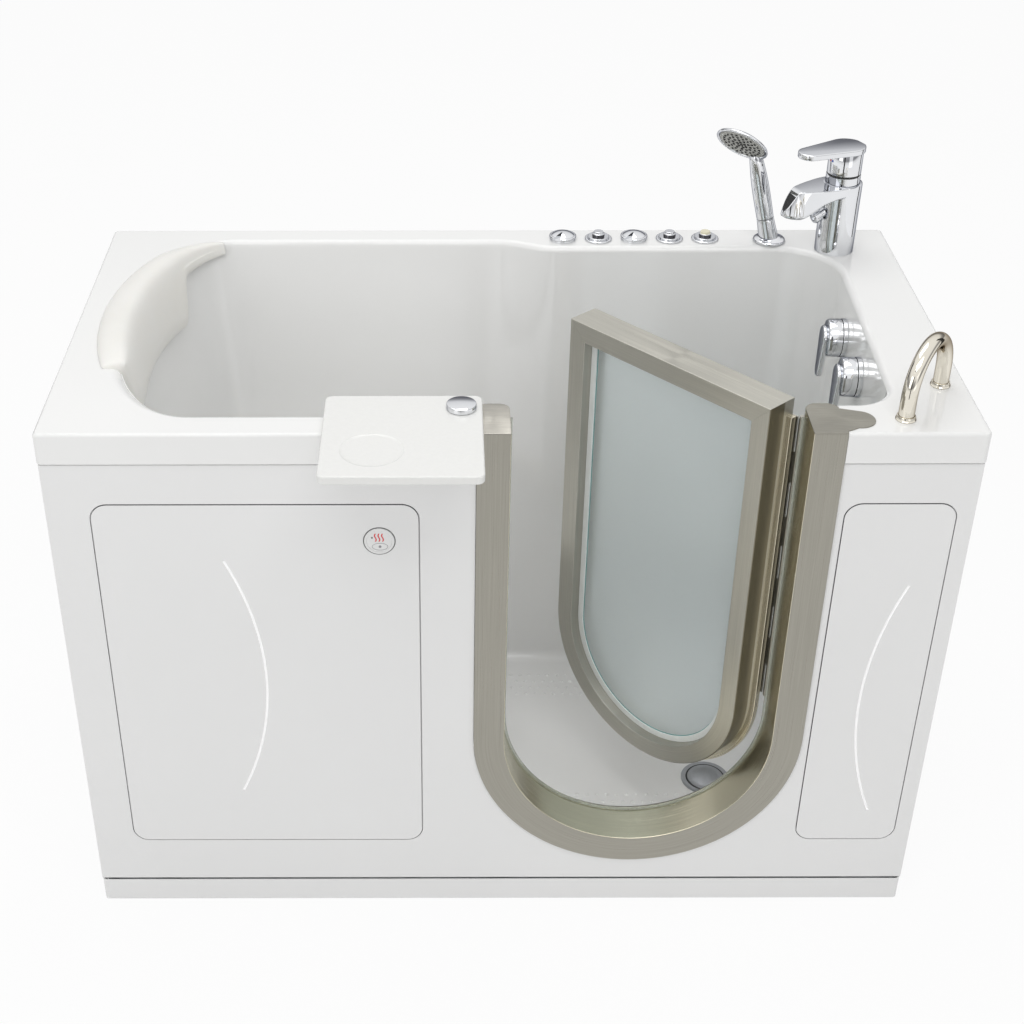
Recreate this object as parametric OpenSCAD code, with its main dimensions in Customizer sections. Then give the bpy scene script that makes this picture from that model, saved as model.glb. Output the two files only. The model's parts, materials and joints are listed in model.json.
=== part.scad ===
// Walk-in bathtub with an inward-opening glazed door.
// Millimetres. +X runs along the tub to the tap end, +Y from the front to the back wall, +Z up.

/* [Tub body] */
// Length of the tub along the wall
tub_w = 1524; // [1480:1:1600]
// Depth from the front face to the back edge
tub_d = 813; // [800:1:850]
// Height of the deck above the floor
tub_h = 1027; // [1000:1:1080]
// Height of the turned-down rim round the deck
rim_h = 55; // [45:1:70]
// Radius of the rim's top edge
rim_edge_r = 6; // [4:1:9]
// Radius of the deck's corners seen from above
rim_corner_r = 10; // [10:1:30]
// Thickness of the moulded shell
shell_t = 7; // [5:0.5:7.5]

/* [Basin] */
// Width of the deck in front of the seat
front_ledge = 53; // [50:1:62]
// How much wider the deck in front of the basin is at the tap end
front_step = 36; // [28:1:42]
// Width of the deck behind the basin at the tap end
back_ledge = 78; // [74:1:86]
// How much narrower the deck behind the basin is at the seat end
back_step = 32; // [20:1:34]
// Width of the deck at the middle of the seat end
seat_end_ledge = 52; // [48:1:70]
// Width of the deck at the tap end
tap_end_ledge = 113; // [105:1:120]
// How far the rounded seat end runs along the tub
bowl_reach = 191; // [160:1:200]
// Radius of the basin's top edge
basin_edge_r = 12; // [9:1:14]
// Width of the softer top edge at the seat end
bowl_edge_w = 30; // [20:1:34]
// Radius of the basin's front corner at the tap end
tap_corner_front = 65; // [50:1:80]
// Radius of the basin's back corner at the tap end
tap_corner_back = 118; // [90:1:125]
// Height of the seat above the floor
seat_z = 430; // [400:1:470]
// Height of the footwell floor
well_z = 50; // [48:1:60]
// Radius between the footwell floor and its walls
well_fillet = 25; // [15:1:35]
// How far the backrest leans out from the seat to the deck
backrest_rake = 78; // [60:1:100]
// Gap along the tub from the seat's front edge to the clear opening
seat_to_opening = 59; // [45:1:80]

/* [Door opening] */
// Clear width between the jamb's legs
opening_w = 479; // [460:1:490]
// Distance from the opening's middle to the tap end
opening_to_tap_end = 523.5; // [515:0.5:535]
// Width of the jamb's front face
jamb_w = 55; // [50:1:58]
// Depth of the jamb from its front face
jamb_depth = 98; // [96:1:104]
// Radius of the jamb's back corners
jamb_back_r = 20; // [14:1:22]
// Height of the jamb's underside above the floor
jamb_bottom_z = 102.5; // [95:0.5:110]
// Thickness of the jamb's cap plates
cap_t = 2; // [1.5:0.5:3]

/* [Door] */
// Gap between the door and the jamb, each side
door_gap = 14; // [13:0.5:16]
// How far the closed door's face lies behind the jamb's face
door_set_back = 39; // [34:1:40]
// Width of the door frame's face
door_face_w = 36; // [30:1:42]
// Depth of the front frame
door_front_t = 28; // [24:1:30]
// Depth of the rubber between the frames
door_gasket_t = 10; // [8:1:12]
// Depth of the rear frame
door_rear_t = 25; // [22:1:28]
// Thickness of the glass
glass_t = 8; // [6:1:10]
// How far the closing flange stands out beyond the door frame
flange_w = 13; // [8:0.5:13]
// Depth of the closing flange
flange_t = 12; // [8:1:13]
// Width of the white glazing strip in front of the glass
bead_w = 12; // [8:1:15]
// Thickness of the frame's skin over the rubber
gasket_lip = 3; // [2:0.5:4]
// How far open the door is drawn, in degrees
door_open = 48; // [0:1:95]
// Outer radius of the hinge knuckles
knuckle_r = 7; // [6.5:0.5:8]
// Radius of the hinge pin
hinge_pin_r = 3; // [2.5:0.5:3.5]
// Number of hinge knuckles
knuckles = 9; // [5:2:13]

/* [Front panels] */
// Thickness of the skirt and of the panels
panel_t = 5; // [4:0.5:6]
// How far the skirt lies behind the rim's face
skirt_inset = 3; // [2:0.5:4]
// Gap round each access panel
panel_gap = 2; // [1:0.5:2.5]
// Corner radius of the access panels
panel_r = 28; // [20:1:35]
// Height of the access panels' lower edge
panel_z0 = 153; // [140:1:170]
// Distance from the rim down to the access panels' upper edge
panel_below_rim = 79; // [62:1:112]
// Distance from the seat end to the large panel
panel_left_margin = 76; // [70:1:90]
// Distance from the large panel to the jamb
panel_left_to_jamb = 94; // [88:1:110]
// Distance from the jamb to the narrow panel
panel_right_to_jamb = 14; // [12:1:20]
// Distance from the narrow panel to the tap end
panel_right_margin = 33; // [30:1:45]
// Radius of the round of the pressed arc line
arc_groove_r = 2; // [1:0.1:2.4]
// Height of the kick rail
rail_h = 50; // [46:1:52]

/* [Tray] */
// Length of each side of the tray
tray_w = 254; // [230:1:270]
// How far the tray reaches in front of the rim
tray_front = 160; // [140:1:175]
// Thickness of the tray
tray_t = 15; // [12:1:18]
// Corner radius of the tray
tray_r = 12; // [8:1:20]
// Radius of the cup recess
cup_r = 51; // [45:1:55]
// Radius of the tray's pivot post
post_r = 8; // [6:0.5:9]

/* [Fittings] */
// Radius of the deck control flanges
control_r = 26.5; // [24:0.5:28]
// Distance between two deck controls
control_pitch = 69.75; // [66:0.25:72]
// Distance from the tap end to the nearest deck control
control_to_tap_end = 357; // [340:1:365]
// Travel of a push button
button_travel = 3; // [2:0.5:4]
// Radius of the grab bar's tube
bar_r = 13; // [11:0.5:14]
// Height of the grab bar's straight legs
bar_leg = 36; // [25:1:45]
// Radius of the drain flanges
drain_r = 50; // [45:1:54]
// Distance between the two drains
drain_pitch = 200; // [180:1:220]
// Radius of the drain lever bodies
lever_body_r = 36; // [30:1:40]
// Reach of the drain levers from their middle
lever_reach = 80; // [70:1:90]
// Radius of the tap's body at the deck
tap_r = 36.8; // [34:0.2:38]
// Height of the tap's body
tap_h = 156; // [140:1:170]
// Radius of the hand shower's head
head_r = 52; // [45:1:56]
// Outer radius of the waste pipe
waste_r = 17; // [15:0.5:18]
// Thread radius of the water inlets
inlet_r = 10.5; // [9:0.5:12]

/* [Frame] */
// Width of the square steel tube
tube = 30; // [25:1:30]
// Gap between the base frame and the footwell's underside
frame_gap = 1; // [0.5:0.5:2]
// Radius of a levelling foot's pad
foot_r = 25; // [20:1:30]

/* [Hidden] */
$fn = 64;

// ---- places worked out from the sizes above
e = 0.5;                       // how far a cutter runs past the face it cuts
seat_end = -tub_w / 2;
tap_end = tub_w / 2;
box_mid_y = (tub_d - tray_front) / 2;
rim_bottom_z = tub_h - rim_h;
deck_under = tub_h - shell_t;

opening_x = tap_end - opening_to_tap_end;
inner_half = opening_w / 2;
outer_half = inner_half + jamb_w;
arc_z = jamb_bottom_z + outer_half;
jamb_proud = 1;                // the jamb's face stands this far in front of the rim
jamb_back_y = jamb_depth - jamb_proud;
jamb_left_x = opening_x - outer_half;
jamb_right_x = opening_x + outer_half;

bowl_edge_x = seat_end + seat_end_ledge;
bowl_left = bowl_edge_x + bowl_edge_w;
basin_right = tap_end - tap_end_ledge - basin_edge_r;
basin_back = tub_d - back_ledge - basin_edge_r;
basin_front = front_ledge + basin_edge_r;
seat_front_x = opening_x - inner_half - seat_to_opening;
backrest_foot_x = bowl_left + backrest_rake;
wall_draft = 28;               // how far the back and tap-end walls lean in
front_draft = 27;              // how far the front wall leans in beside the seat
step_x0 = 3;                   // the back edge's S-curve runs from here
step_x1 = 109;                 // to here
tap_wall_skew = 22;            // the tap-end wall is turned a little in plan

door_half = inner_half - door_gap;
door_top_z = tub_h + cap_t;
hinge_x = opening_x + inner_half + 5;
hinge_y = jamb_back_y + knuckle_r + 0.5;
front_frame_y = door_set_back - jamb_proud;
gasket_y = front_frame_y + door_front_t;
rear_frame_y = gasket_y + door_gasket_t;
glass_y = gasket_y - 4;
door_back_y = rear_frame_y + door_rear_t;
glass_half = door_half - 19.5;
face_half = door_half - door_face_w;
gasket_half = door_half - gasket_lip - 0.5;

// ---- small helpers
function mix(a, b, t) = a + (b - a) * t;
function ease(t) = let (c = min(1, max(0, t))) c * c * (3 - 2 * c);

// The sum of a list of points
function sum(p) = [for (i = 0, t = p[0]; i < len(p); i = i + 1, t = i < len(p) ? t + p[i] : t) t][len(p) - 1];

// A closed solid through rings that have the same number of points each; fan closes its
// two ends round their middles, which suits long straight rings
module loft(rings, fan = false) {
    n = len(rings[0]);
    m = len(rings);
    sides = [for (i = [0:m - 2], j = [0:n - 1], half = [0, 1])
        let (a = i * n + j, b = i * n + (j + 1) % n)
            half == 0 ? [a, a + n, b + n] : [a, b + n, b]];
    first = fan ? [for (j = [0:n - 1]) [j, (j + 1) % n, m * n]] : [[for (j = [0:n - 1]) j]];
    last = fan ? [for (j = [0:n - 1]) [(m - 1) * n + (j + 1) % n, (m - 1) * n + j, m * n + 1]]
        : [[for (j = [n - 1:-1:0]) (m - 1) * n + j]];
    middles = fan ? [for (r = [rings[0], rings[m - 1]]) sum(r) / n] : [];
    polyhedron(concat([for (r = rings) each r], middles), concat(first, sides, last));
}

module box(x0, y0, z0, x1, y1, z1) translate([x0, y0, z0]) cube([x1 - x0, y1 - y0, z1 - z0]);

// A 2D outline in X and Z, as a plate from y to y + t
module upright(y, t) translate([0, y + t, 0]) rotate([90, 0, 0]) linear_extrude(t) children();

// A 2D outline in Y and Z, run along X from x0 to x1
module along_x(x0, x1) translate([x0, 0, 0]) rotate([90, 0, 90]) linear_extrude(x1 - x0) children();

module round_rect(x0, y0, x1, y1, r) {
    translate([x0 + r, y0]) square([x1 - x0 - 2 * r, y1 - y0]);
    translate([x0, y0 + r]) square([x1 - x0, y1 - y0 - 2 * r]);
    for (x = [x0 + r, x1 - r], y = [y0 + r, y1 - r]) translate([x, y]) circle(r);
}

// The outline of the door opening grown to half-width h, up to height top
module u_outline(h, top) {
    translate([opening_x, arc_z]) circle(h, $fn = 96);
    translate([opening_x - h, arc_z]) square([2 * h, top - arc_z]);
}

// Sweeps a profile, drawn as distance from the opening's middle and as y, round the U
module u_sweep(top) translate([opening_x, 0, arc_z]) {
    rotate([-90, 0, 0]) rotate_extrude(angle = 180, $fn = 96) children();
    linear_extrude(top - arc_z) children();
    mirror([1, 0, 0]) linear_extrude(top - arc_z) children();
}

// Points a piece drawn along Z the way v points
module aim(p, v) translate(p) rotate([0, acos(v.z / norm(v)), atan2(v.y, v.x)]) children();

// Turns a piece of the closed door to where the door is drawn
module on_door() translate([hinge_x, hinge_y, 0]) rotate([0, 0, -door_open])
    translate([-hinge_x, -hinge_y, 0]) children();

// ---- moulded shell: every ring has the same stretches of points
bowl_n = 10;                   // steps round each rounded seat-end corner
corner_n = 6;                  // steps round each tap-end corner
front_n = [3, 4, 2];           // steps along the front: seat end, step, tap end
side_n = 3;                    // steps along the tap end
back_n = [4, 6, 4];            // steps along the back: tap end, S-curve, seat end
front_step_x0 = opening_x - 90;
front_step_x1 = opening_x + 90;

// One ring: l, r, f, b are its sides, fs and bs the steps in front and back, rx, ry the
// seat-end corners, rf and rb the tap-end corners
function outline(z, l, r, f, b, fs, bs, rx, ry, rf, rb) = let (sx = max(step_x0, l + rx + 12)) concat(
    [for (i = [0:bowl_n]) let (a = 180 + 90 * i / bowl_n) [l + rx + rx * cos(a), f + ry + ry * sin(a), z]],
    [for (i = [1:front_n[0]]) [mix(l + rx, front_step_x0, i / front_n[0]), f, z]],
    [for (i = [1:front_n[1]]) let (t = i / front_n[1])
        [mix(front_step_x0, front_step_x1, t), f + fs * ease(t), z]],
    [for (i = [1:front_n[2] - 1]) [mix(front_step_x1, r - rf, i / front_n[2]), f + fs, z]],
    [for (i = [0:corner_n]) let (a = 270 + 90 * i / corner_n)
        [r - rf + rf * cos(a), f + fs + rf + rf * sin(a), z]],
    [for (i = [1:side_n - 1]) [r, mix(f + fs + rf, b - rb, i / side_n), z]],
    [for (i = [0:corner_n]) let (a = 90 * i / corner_n) [r - rb + rb * cos(a), b - rb + rb * sin(a), z]],
    [for (i = [1:back_n[0]]) [mix(r - rb, step_x1, i / back_n[0]), b, z]],
    [for (i = [1:back_n[1]]) let (t = i / back_n[1]) [mix(step_x1, sx, t), b + bs * ease(t), z]],
    [for (i = [1:back_n[2] - 1]) [mix(sx, l + rx, i / back_n[2]), b + bs, z]],
    [for (i = [0:bowl_n]) let (a = 90 + 90 * i / bowl_n)
        [l + rx + rx * cos(a), b + bs - ry + ry * sin(a), z]]
);

// The deck's outer edge, drawn in by inset
function rim_ring(inset, z) = let (r = max(1, rim_corner_r - inset))
    outline(z, seat_end + inset, tap_end - inset, inset, tub_d - inset, 0, 0, r, r, r, r);

// Where the basin's walls stand at height z
function left_at(z) = lookup(z, [
    [well_z, seat_front_x + 30], [seat_z - 35, seat_front_x], [seat_z - 18, seat_front_x - 6],
    [seat_z - 6, seat_front_x - 20], [seat_z - 3, seat_front_x - 38],
    [seat_z, mix(seat_front_x, backrest_foot_x, 0.5)], [seat_z + 3, backrest_foot_x + 57],
    [seat_z + 6, backrest_foot_x + 27], [seat_z + 15, backrest_foot_x + 10],
    [seat_z + 40, backrest_foot_x], [tub_h - 150, mix(bowl_left, backrest_foot_x, 0.3)],
    [tub_h, bowl_left]]);
function front_at(z) = basin_front + front_draft
    * lookup(z, [[tub_h - 327, 1], [tub_h - 177, 0.74], [tub_h - 77, 0.33], [tub_h, 0]]);
function front_step_at(z) = front_step
    * lookup(z, [[tub_h - 327, 0.25], [tub_h - 177, 0.45], [tub_h - 77, 0.75], [tub_h, 1]]);
function back_at(z) = lookup(z, [[well_z, basin_back - wall_draft], [tub_h, basin_back]]);
function right_at(z) = lookup(z, [[well_z, basin_right - wall_draft], [tub_h, basin_right]]);
function back_step_at(z) = back_step * lookup(z, [[tub_h - 260, 0], [tub_h - 150, 0.3], [tub_h, 1]]);
function bowl_x_at(z) = lookup(z, [[seat_z - 3, 62], [seat_z, 110], [seat_z + 3, 150],
    [tub_h, bowl_reach - bowl_edge_w]]);
function bowl_y_at(z) = min(
    lookup(z, [[seat_z - 3, 62], [seat_z, 180], [seat_z + 3, 300], [seat_z + 40, 400]]),
    (back_at(z) + back_step_at(z) - front_at(z)) / 2 - 8);
function fillet_at(z) = let (d = well_fillet - min(well_fillet, z - well_z))
    well_fillet - sqrt(well_fillet * well_fillet - d * d);
function skewed(p, f, b, r) =
    [p.x + tap_wall_skew * max(0, p.x / r) * (p.y - (f + b) / 2) / (b - f), p.y, p.z];

// The basin's wall at height z, moved outwards by off and down by drop; stretch widens
// the move at the seat end
function basin_ring(z, off = 0, drop = 0, stretch = 1) = let (
        o = off - fillet_at(z), s = o > 0 ? o * stretch : o,
        f = front_at(z) - o, b = back_at(z) + o, r = right_at(z) + o)
    [for (p = outline(z - drop, left_at(z) - s, r, f, b, front_step_at(z), back_step_at(z),
            bowl_x_at(z) + s, bowl_y_at(z) + o, tap_corner_front + o, tap_corner_back + o))
        skewed(p, f, b, r)];

bowl_stretch = bowl_edge_w / basin_edge_r;
seat_levels = [40, 15, 6, 3, 0, -3, -6, -18, -35];
wall_levels = concat([for (d = [40, 77, 150, 260, 420]) tub_h - d], [for (d = seat_levels) seat_z + d],
    [for (t = [0.4, 0.8]) mix(seat_z - 35, well_z + well_fillet, t)],
    [for (a = [0:30:90]) well_z + well_fillet * (1 - sin(a))]);
back_levels = concat([for (a = [90, 45, 0]) well_z + well_fillet * (1 - sin(a))],
    [for (i = [8:-1:0]) seat_z + seat_levels[i]], [for (d = [420, 260, 150, 40]) tub_h - d]);

shell_rings = concat(
    [for (z = back_levels) basin_ring(z, shell_t, shell_t)],
    [basin_ring(tub_h, shell_t + 2, shell_t, bowl_stretch)],
    [rim_ring(shell_t, deck_under), rim_ring(shell_t, rim_bottom_z), rim_ring(0, rim_bottom_z)],
    [for (a = [0:30:90]) rim_ring(rim_edge_r * (1 - cos(a)), tub_h - rim_edge_r * (1 - sin(a)))],
    [for (a = [0:30:90])
        basin_ring(tub_h, basin_edge_r * (1 - sin(a)), basin_edge_r * (1 - cos(a)), bowl_stretch)],
    [for (z = wall_levels) basin_ring(z)]);

// ---- places of the fittings
tap_pos = [tap_end - 114, tub_d - 97];
shower_pos = [tap_end - 233, tub_d - 58];
control_y = tub_d - 48;
control_x = [for (i = [4:-1:0]) tap_end - control_to_tap_end - i * control_pitch];
bar_front = [tap_end - 129, 47];
bar_back = [tap_end - 45, 162];
bar_angle = atan2(bar_back.y - bar_front.y, bar_back.x - bar_front.x);
bar_span = norm(bar_back - bar_front);
drain_front = [tap_end - 337, 286];
drain_back = [drain_front.x, drain_front.y + drain_pitch];
lever_z = tub_h - 86;
lever_y = [350, 505];
post_pos = [jamb_left_x - 24, 50];
post_stud_y = 38;
hole_gap = 0.5;                // clearance of a fitting's tail in its hole
tail_r = 14;
hose_tail_r = 12;
tap_shank_r = 16;
stud_r = 5;
throat_r = 21;
lever_stem_r = 10;

// The tap-end wall's place and the direction it faces where the levers are fixed
function tap_wall_x(y, z) = let (f = front_at(z), b = back_at(z))
    right_at(z) + tap_wall_skew * (y - (f + b) / 2) / (b - f);
wall_off = 0.25;
lever_dir = [-1, tap_wall_skew / (back_at(lever_z) - front_at(lever_z)), wall_draft / (tub_h - well_z)];
module on_lever(i)
    aim([tap_wall_x(lever_y[i], lever_z) - wall_off, lever_y[i], lever_z], lever_dir) children();

module deck_hole(p, r) translate([p.x, p.y, deck_under - 5]) cylinder(r = r + hole_gap, h = shell_t + 10);

module tub_shell() color("white") difference() {
    loft(shell_rings, fan = true);
    upright(-jamb_proud - e, jamb_depth + 12) u_outline(outer_half + hole_gap, tub_h + 1);
    for (x = control_x) deck_hole([x, control_y], tail_r);
    deck_hole(shower_pos, hose_tail_r);
    deck_hole(tap_pos, tap_shank_r);
    for (p = [bar_front, bar_back]) deck_hole(p, stud_r);
    deck_hole([post_pos.x, post_stud_y], stud_r);
    for (d = [drain_front, drain_back]) translate([d.x, d.y, well_z - shell_t - 5])
        cylinder(r = throat_r + hole_gap, h = shell_t + 10);
    for (i = [0, 1]) on_lever(i) translate([0, 0, -20]) cylinder(r = lever_stem_r + hole_gap, h = 40);
}

// ---- front skirt, panels and rails
panel_left = [seat_end + panel_left_margin, jamb_left_x - panel_left_to_jamb];
panel_right = [jamb_right_x + panel_right_to_jamb, tap_end - panel_right_margin];
panel_y = skirt_inset - 0.5;
panel_z1 = rim_bottom_z - panel_below_rim;
ledge_w = 12;
skirt_top_z = rim_bottom_z - 3;
skirt_bottom_z = rail_h + 0.5;
skirt_half = tub_w / 2 - skirt_inset;
skirt_back_y = skirt_inset + panel_t;
skirt_bend_r = panel_t + 1;
return_y = 60;

module panel_outline(p, grow = 0)
    round_rect(p[0] - grow, panel_z0 - grow, p[1] + grow, panel_z1 + grow, panel_r + grow);

module front_skirt() color("gainsboro") difference() {
    union() {
        difference() {
            box(-skirt_half, skirt_inset, skirt_bottom_z + skirt_bend_r,
                skirt_half, skirt_back_y, skirt_top_z);
            for (p = [panel_left, panel_right]) upright(0, 20) panel_outline(p, panel_gap);
        }
        // lower edge bent back
        along_x(-skirt_half, skirt_half)
            translate([skirt_inset + skirt_bend_r, skirt_bottom_z + skirt_bend_r]) intersection() {
                difference() {
                    circle(skirt_bend_r);
                    circle(skirt_bend_r - panel_t);
                }
                translate([-skirt_bend_r, -skirt_bend_r]) square(skirt_bend_r);
            }
        for (s = [-1, 1]) translate([s * (skirt_half - panel_t / 2), 0, 0])
            box(-panel_t / 2, skirt_back_y, skirt_bottom_z + skirt_bend_r,
                panel_t / 2, return_y, skirt_top_z);
        // ledge that each access panel bears on
        for (p = [panel_left, panel_right]) difference() {
            upright(panel_y + panel_t, 3) panel_outline(p, panel_gap + 3);
            upright(0, 20) panel_outline(p, -ledge_w);
        }
    }
    upright(-e, 40) u_outline(outer_half + hole_gap, tub_h + 1);
}

// A long shallow arc line: a chord of given length that bulges to one side
module arc_line(x, z, chord, bulge) {
    s = abs(bulge);
    r = chord * chord / (8 * s) + s / 2;
    half = asin(chord / 2 / r);
    translate([x, panel_y, z]) mirror([bulge < 0 ? 1 : 0, 0, 0]) translate([s - r, 0, 0])
        rotate([90, 0, 0]) rotate([0, 0, -half]) rotate_extrude(angle = 2 * half, $fn = 180)
            translate([r, 0]) circle(arc_groove_r, $fn = 24);
}

panel_mid_z = (panel_z0 + panel_z1) / 2;
arc_margin = 117;              // from a panel's upper and lower edge to the ends of its arc line
heat_pos = [panel_left[1] - 65, panel_z1 - 70];
heat_r = 25;

module left_access_panel() color("white") difference() {
    upright(panel_y, panel_t) panel_outline(panel_left);
    arc_line(panel_left[0] + 211, panel_mid_z + 7, panel_z1 - panel_z0 - 2 * arc_margin, 57);
    upright(-e, 12) translate(heat_pos) circle(heat_r - 2);
}

module right_access_panel() color("white") difference() {
    upright(panel_y, panel_t) panel_outline(panel_right);
    arc_line(panel_right[1] - 56, panel_mid_z - 45, panel_z1 - panel_z0 - 2 * arc_margin, -50);
}

module heat_button_bezel() color("silver") difference() {
    union() {
        upright(panel_y - 1.5, 1.5) translate(heat_pos) circle(heat_r);
        upright(panel_y, panel_t + 1) translate(heat_pos) circle(heat_r - 2.1);
    }
    upright(-5, 20) translate(heat_pos) circle(heat_r - 4);
}

module heat_button() color("whitesmoke")
    upright(panel_y - 1, panel_t + 1) translate(heat_pos) circle(heat_r - 4.05);

rail_t = 3;
rail_half = tub_w / 2 - 3;
rail_front_y = 1;
rail_back_y = tub_d - 3;
rail_corner_r = 8;
rail_return = 60;              // how far the rail comes round the back corners
pipe_way = 30;                 // half the gap that lets the house's waste pipe in
module rail_outline(inset) round_rect(inset - rail_half, rail_front_y + inset,
    rail_half - inset, rail_back_y - inset, rail_corner_r - inset);
module kick_rail() color("white") linear_extrude(rail_h) difference() {
    rail_outline(0);
    rail_outline(rail_t);
    translate([rail_return - rail_half, tub_d / 2]) square([2 * (rail_half - rail_return), tub_d]);
    translate([tub_w / 4, drain_front.y - pipe_way]) square([tub_w / 2, 2 * pipe_way]);
}

end_panel_t = 4;
module end_panel() {
    y1 = frame_y1 + end_panel_t;
    box(-skirt_half, return_y + 0.3, skirt_bottom_z, -skirt_half + end_panel_t, y1, skirt_top_z);
    box(-skirt_half + end_panel_t, frame_y1, skirt_bottom_z, -frame_x + tube, y1, skirt_top_z);
}
module left_end_panel() color("white") end_panel();
module right_end_panel() color("white") mirror([1, 0, 0]) end_panel();

// ---- steel frame under the tub
base_top = well_z - shell_t - frame_gap;
base_bottom = base_top - tube;
frame_x = tub_w / 2 - 10;
frame_y0 = 18;
frame_y1 = tub_d - 13;
cross_x = [-frame_x, -450, -190, frame_x - tube];
front_post_x = [-frame_x, jamb_left_x - 64, jamb_right_x + 7, frame_x - tube];
valve_room = 36;               // from the middle of an outer deck valve to the back posts
back_post_x = [-frame_x, control_x[0] - valve_room - tube, control_x[4] + valve_room, frame_x - tube];
post_top = deck_under - tube;
stud_room = 21;                // half the gap in the front rail
block_w = 14;
block_in = 8;
end_block_y = [150, 650];

module base_frame() color("silver") {
    box(-frame_x, frame_y0, base_bottom, frame_x, frame_y0 + tube, base_top);
    box(-frame_x, frame_y1 - tube, base_bottom, frame_x, frame_y1, base_top);
    difference() {
        for (x = cross_x) box(x, frame_y0 + tube, base_bottom, x + tube, frame_y1 - tube, base_top);
        box(cross_x[3] - e, drain_front.y - pipe_way, base_bottom - e,
            frame_x + e, drain_front.y + pipe_way, base_top + e);
    }
    // blocks that the kick rail is screwed to, in front and at both ends
    for (x = cross_x) box(x + block_in, rail_front_y + rail_t, base_bottom + block_in,
        x + block_in + block_w, frame_y0, base_bottom + block_in + block_w);
    for (s = [0, 1], y = end_block_y) mirror([s, 0, 0]) box(frame_x, y, base_bottom + block_in,
        rail_half - rail_t, y + block_w, base_bottom + block_in + block_w);
}
module frame_posts() color("silver") {
    for (x = front_post_x) {
        box(x, frame_y0, base_top, x + tube, frame_y0 + tube, post_top);
        // blocks that the skirt is screwed to
        for (z = [75, panel_z1 + 20])
            box(x + block_in, skirt_back_y, z, x + block_in + block_w, frame_y0, z + 30);
    }
    for (x = back_post_x) box(x, frame_y1 - tube, base_top, x + tube, frame_y1, post_top);
}
module deck_rails() color("silver") {
    for (i = [0, 2])
        box(back_post_x[i], frame_y1 - tube, post_top, back_post_x[i + 1] + tube, frame_y1, deck_under);
    // the front rail leaves the grab bar's stud free
    for (x = [[front_post_x[0], front_post_x[1] + tube], [front_post_x[2], bar_front.x - stud_room],
            [bar_front.x + stud_room, frame_x]])
        box(x[0], frame_y0, post_top, x[1], frame_y0 + tube, deck_under);
    box(-frame_x, frame_y0 + tube, post_top, -frame_x + tube, frame_y1 - tube, deck_under);
    box(frame_x - tube, bar_back.y + 40, post_top, frame_x, frame_y1 - tube, deck_under);
}
seat_bar_top = seat_z - shell_t - 4;
seat_bar_y = [frame_y0 + tube + 70, frame_y1 - tube - 80];
seat_leg_y = [seat_bar_y[0] + 32, seat_bar_y[1] - 150];
module seat_frame() color("silver") for (x = [cross_x[1], cross_x[2]]) {
    box(x, seat_bar_y[0], seat_bar_top - tube, x + tube, seat_bar_y[1], seat_bar_top);
    for (y = seat_leg_y) box(x, y, base_top, x + tube, y + tube, seat_bar_top - tube);
}
foot_x = frame_x - 112;
module levelling_feet() color("dimgray") for (x = [-foot_x, 0, foot_x], y = [frame_y0, frame_y1 - tube])
    translate([x, y + tube / 2, 0]) {
        cylinder(r = foot_r, h = 3);
        translate([0, 0, 3]) cylinder(r1 = foot_r - 1, r2 = 11, h = base_bottom - 6);
        translate([0, 0, base_bottom - 3]) cylinder(r = 10, h = 3);
    }

// ---- equipment under the seat
shelf_t = 3;
shelf_y1 = 470;
blower_pos = [-600, 290];
box_pos = [-320, 240];
module equipment_shelf() color("lightgray") difference() {
    box(-frame_x + tube + 5, frame_y0 + tube, base_top, cross_x[2] - 5, shelf_y1, base_top + shelf_t);
    box(cross_x[1] - 1, seat_leg_y[0] - 1, base_top - e,
        cross_x[1] + tube + 1, seat_leg_y[0] + tube + 1, base_top + shelf_t + e);
}
module air_blower() color("dimgray") translate([blower_pos.x, blower_pos.y, base_top + shelf_t]) {
    box(-95, -80, 0, 95, 80, 5);
    translate([0, 0, 5]) cylinder(r = 78, h = 62);
    translate([0, 0, 67]) cylinder(r = 50, h = 95);
    translate([0, 0, 162]) cylinder(r1 = 50, r2 = 40, h = 12);
    for (i = [0:5]) translate([0, 0, 80 + 13 * i]) cylinder(r = 55, h = 5);
    difference() {
        translate([45, 30, 36]) rotate([-90, 0, 0]) cylinder(r = 24, h = 95);
        translate([45, 75, 36]) rotate([-90, 0, 0]) cylinder(r = 20, h = 55);
    }
}
module control_box() color("whitesmoke") translate([box_pos.x, box_pos.y, base_top + shelf_t]) {
    difference() {
        box(-80, -60, 0, 80, 60, 150);
        for (x = [-50, 0, 50]) translate([x, -61, 30]) rotate([-90, 0, 0]) cylinder(r = 10, h = 15);
    }
    box(-76, -56, 150, 76, 56, 154);
}

// ---- door jamb, caps, seal and hinge
// One leg of the jamb in plan, with its back edges rounded
module jamb_leg(x0, x1) {
    fr = 2;
    br = jamb_back_r;
    translate([x0, -jamb_proud + fr]) square([x1 - x0, jamb_depth - fr - br]);
    translate([x0 + fr, -jamb_proud]) square([x1 - x0 - 2 * fr, 2 * fr]);
    for (x = [x0 + fr, x1 - fr]) translate([x, -jamb_proud + fr]) circle(fr);
    translate([x0 + br, jamb_back_y - br]) square([x1 - x0 - 2 * br, br]);
    for (x = [x0 + br, x1 - br]) translate([x, jamb_back_y - br]) circle(br);
}
module door_jamb() color("darkkhaki") u_sweep(tub_h) jamb_leg(inner_half, outer_half);
module jamb_cap_left() color("darkkhaki") translate([0, 0, tub_h]) linear_extrude(cap_t)
    jamb_leg(jamb_left_x, jamb_left_x + jamb_w);
lobe_r = 27;
lobe = [jamb_right_x + 24, 44];
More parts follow.
